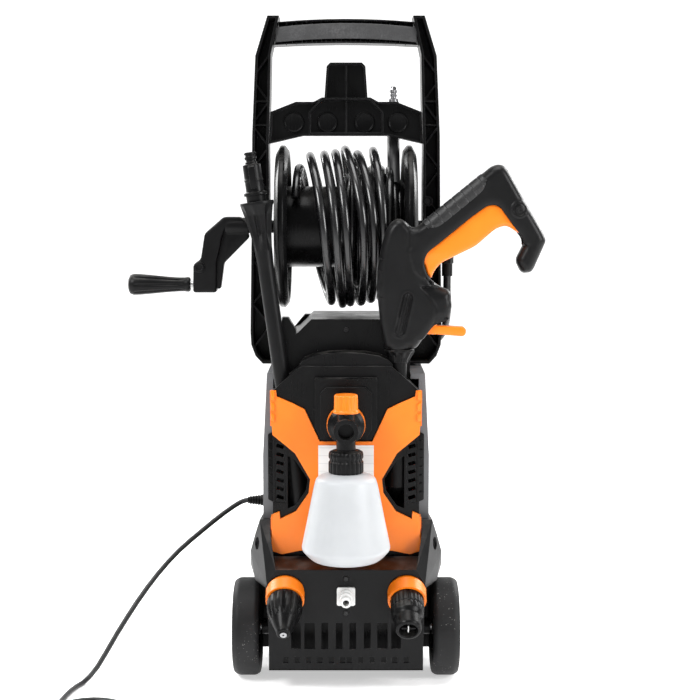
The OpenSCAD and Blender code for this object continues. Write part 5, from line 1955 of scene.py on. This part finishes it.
@dataclass
class FrontDetails:
    """Small mouldings on the tower: corner strips, louvre teeth, red bits, trim steps, and dished
    discs on the cross panel."""

    pitch: float = 11.6
    lowest: float = 248.0

    @staticmethod
    def _plate(
        corners: Sequence[Sequence[float]], y0: float, y1: float, edge: float, side: int,
    ) -> Grid:
        """A rounded plate on one side.

        Args:
            corners: Its outline for the right side.
            y0: Its near face.
            y1: Its far face.
            edge: The rim's radius.
            side: -1 mirrors it to the left.

        Returns:
            One grid for make_piece.
        """
        slab = Outline(corners, 1.2, 3).slab(y0, y1, edge, 3)
        return slab * np.array([float(side), 1.0, 1.0]), *CAPPED

    def build(self) -> None:
        """Makes the details of both sides."""
        strips, teeth, red, steps, discs = [], [], [], [], []
        front = Axis.FRONT.turn
        for side in (-1, 1):
            strips.append(
                self._plate([(97, 236), (106, 240), (106, 330), (97, 334)], -66.0, -60.0, 0.8, side)
            )
            strips.append(
                self._plate(
                    [(82, 238), (97.6, 240), (97.6, 333), (82, 336)], -69.0, -64.5, 0.6, side,
                )
            )
            strips.append(
                self._plate([(58, 236), (96, 236), (96, 345), (58, 345)], -60.0, -57.0, 0.6, side)
            )
            for k in range(7):
                z = self.lowest + self.pitch * k
                teeth.append(
                    self._plate(
                        [(96.5, z), (104.5, z + 2.4), (104.5, z + 3.8), (96.5, z + 2.0)], -68.0,
                        -65.0, 0.4, side,
                    )
                )
                if k < 5:
                    red.append(
                        self._plate(
                            [(89.5, z + 4.2), (96.6, z + 5.4), (96.6, z + 7.9), (89.5, z + 6.2)],
                            -69.5, -67.0, 0.3, side,
                        )
                    )
            for low, high in ((381, 394), (367, 377), (353, 363)):
                steps.append(
                    self._plate(
                        [(94.5, low), (99.8, low + 1.5), (99.8, high + 1.5), (94.5, high)], -106.5,
                        -101.0, 0.8, side,
                    )
                )
            for x in (26.0, 73.0):
                ring = [
                    (0, -0.6), (11.6, 0.2), (12.4, 1.1), (14.0, 1.1), (14.6, 0.0), (14.6, -2.0),
                    (0, -2.0),
                ]
                discs.append((turned(ring, (side * x, 50.6, 754.0), front, 0.4, 56), *POLED))
        make_piece("corner_strips", strips, "machine", BLACK)
        make_piece("louvre_teeth", teeth, "machine", CHARCOAL)
        make_piece("shroud_glints", red, "machine", RED)
        make_piece("trim_steps", steps, "machine", ORANGE)
        make_piece("panel_dishes", discs, "machine", BLACK_SATIN)


@dataclass
class GripBand:
    """The soft band let into the grip: a long plate that follows the grip's arch."""

    def build(self) -> None:
        """Makes the band."""
        x = np.linspace(-98.6, 98.6, 25)
        bulge = (x / 98.6) ** 2
        top = np.stack([x[::-1], 890.2 - 6.0 * bulge], -1)
        low = np.stack([x, 868.8 - 5.2 * bulge], -1)
        band = Outline(np.concatenate([low, top]).tolist(), 1.0, 2).slab(38.6, 42.6, 1.2, 4)
        make_piece("grip_inlay", [(band, *CAPPED)], "machine", BAND, ("grip_band",))
        pips = []
        for k in range(-6, 7):
            sag = 5.6 * (13.8 * k / 98.6) ** 2
            for z in (892.0 - sag, 863.5 - sag):
                box = [
                    (13.8 * k - 0.5, z), (13.8 * k + 0.5, z), (13.8 * k + 0.5, z + 3.2),
                    (13.8 * k - 0.5, z + 3.2),
                ]
                pips.append((Outline(box, 0.3, 2).slab(38.9, 41.0, 0.3, 3), *CAPPED))
        make_piece("grip_pips", pips, "machine", CHARCOAL)


def dress_nodes() -> None:
    """Gives every CAD node that is kept its finish."""
    nodes = {o["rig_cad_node"]: o for o in bpy.context.scene.objects if "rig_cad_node" in o}
    for finish, names in NODE_FINISHES.items():
        for name in names:
            piece = nodes[name]
            piece.data.materials.clear()
            piece.data.materials.append(finish.material())


def main() -> None:
    """Builds the scene in order."""
    logging.basicConfig(level=logging.INFO, format="%(message)s")
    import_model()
    Studio().build()
    for assembly in (
        PowerCord(), ReelHose(), Wheels(), SprayGun(), Lance(), Nozzles(), FoamSet(), CrankKnob(),
        Crank(), Flanges(), FrontDetails(), GripBand(),
    ):
        assembly.build()
    dress_nodes()


if __name__ == "__main__":
    main()
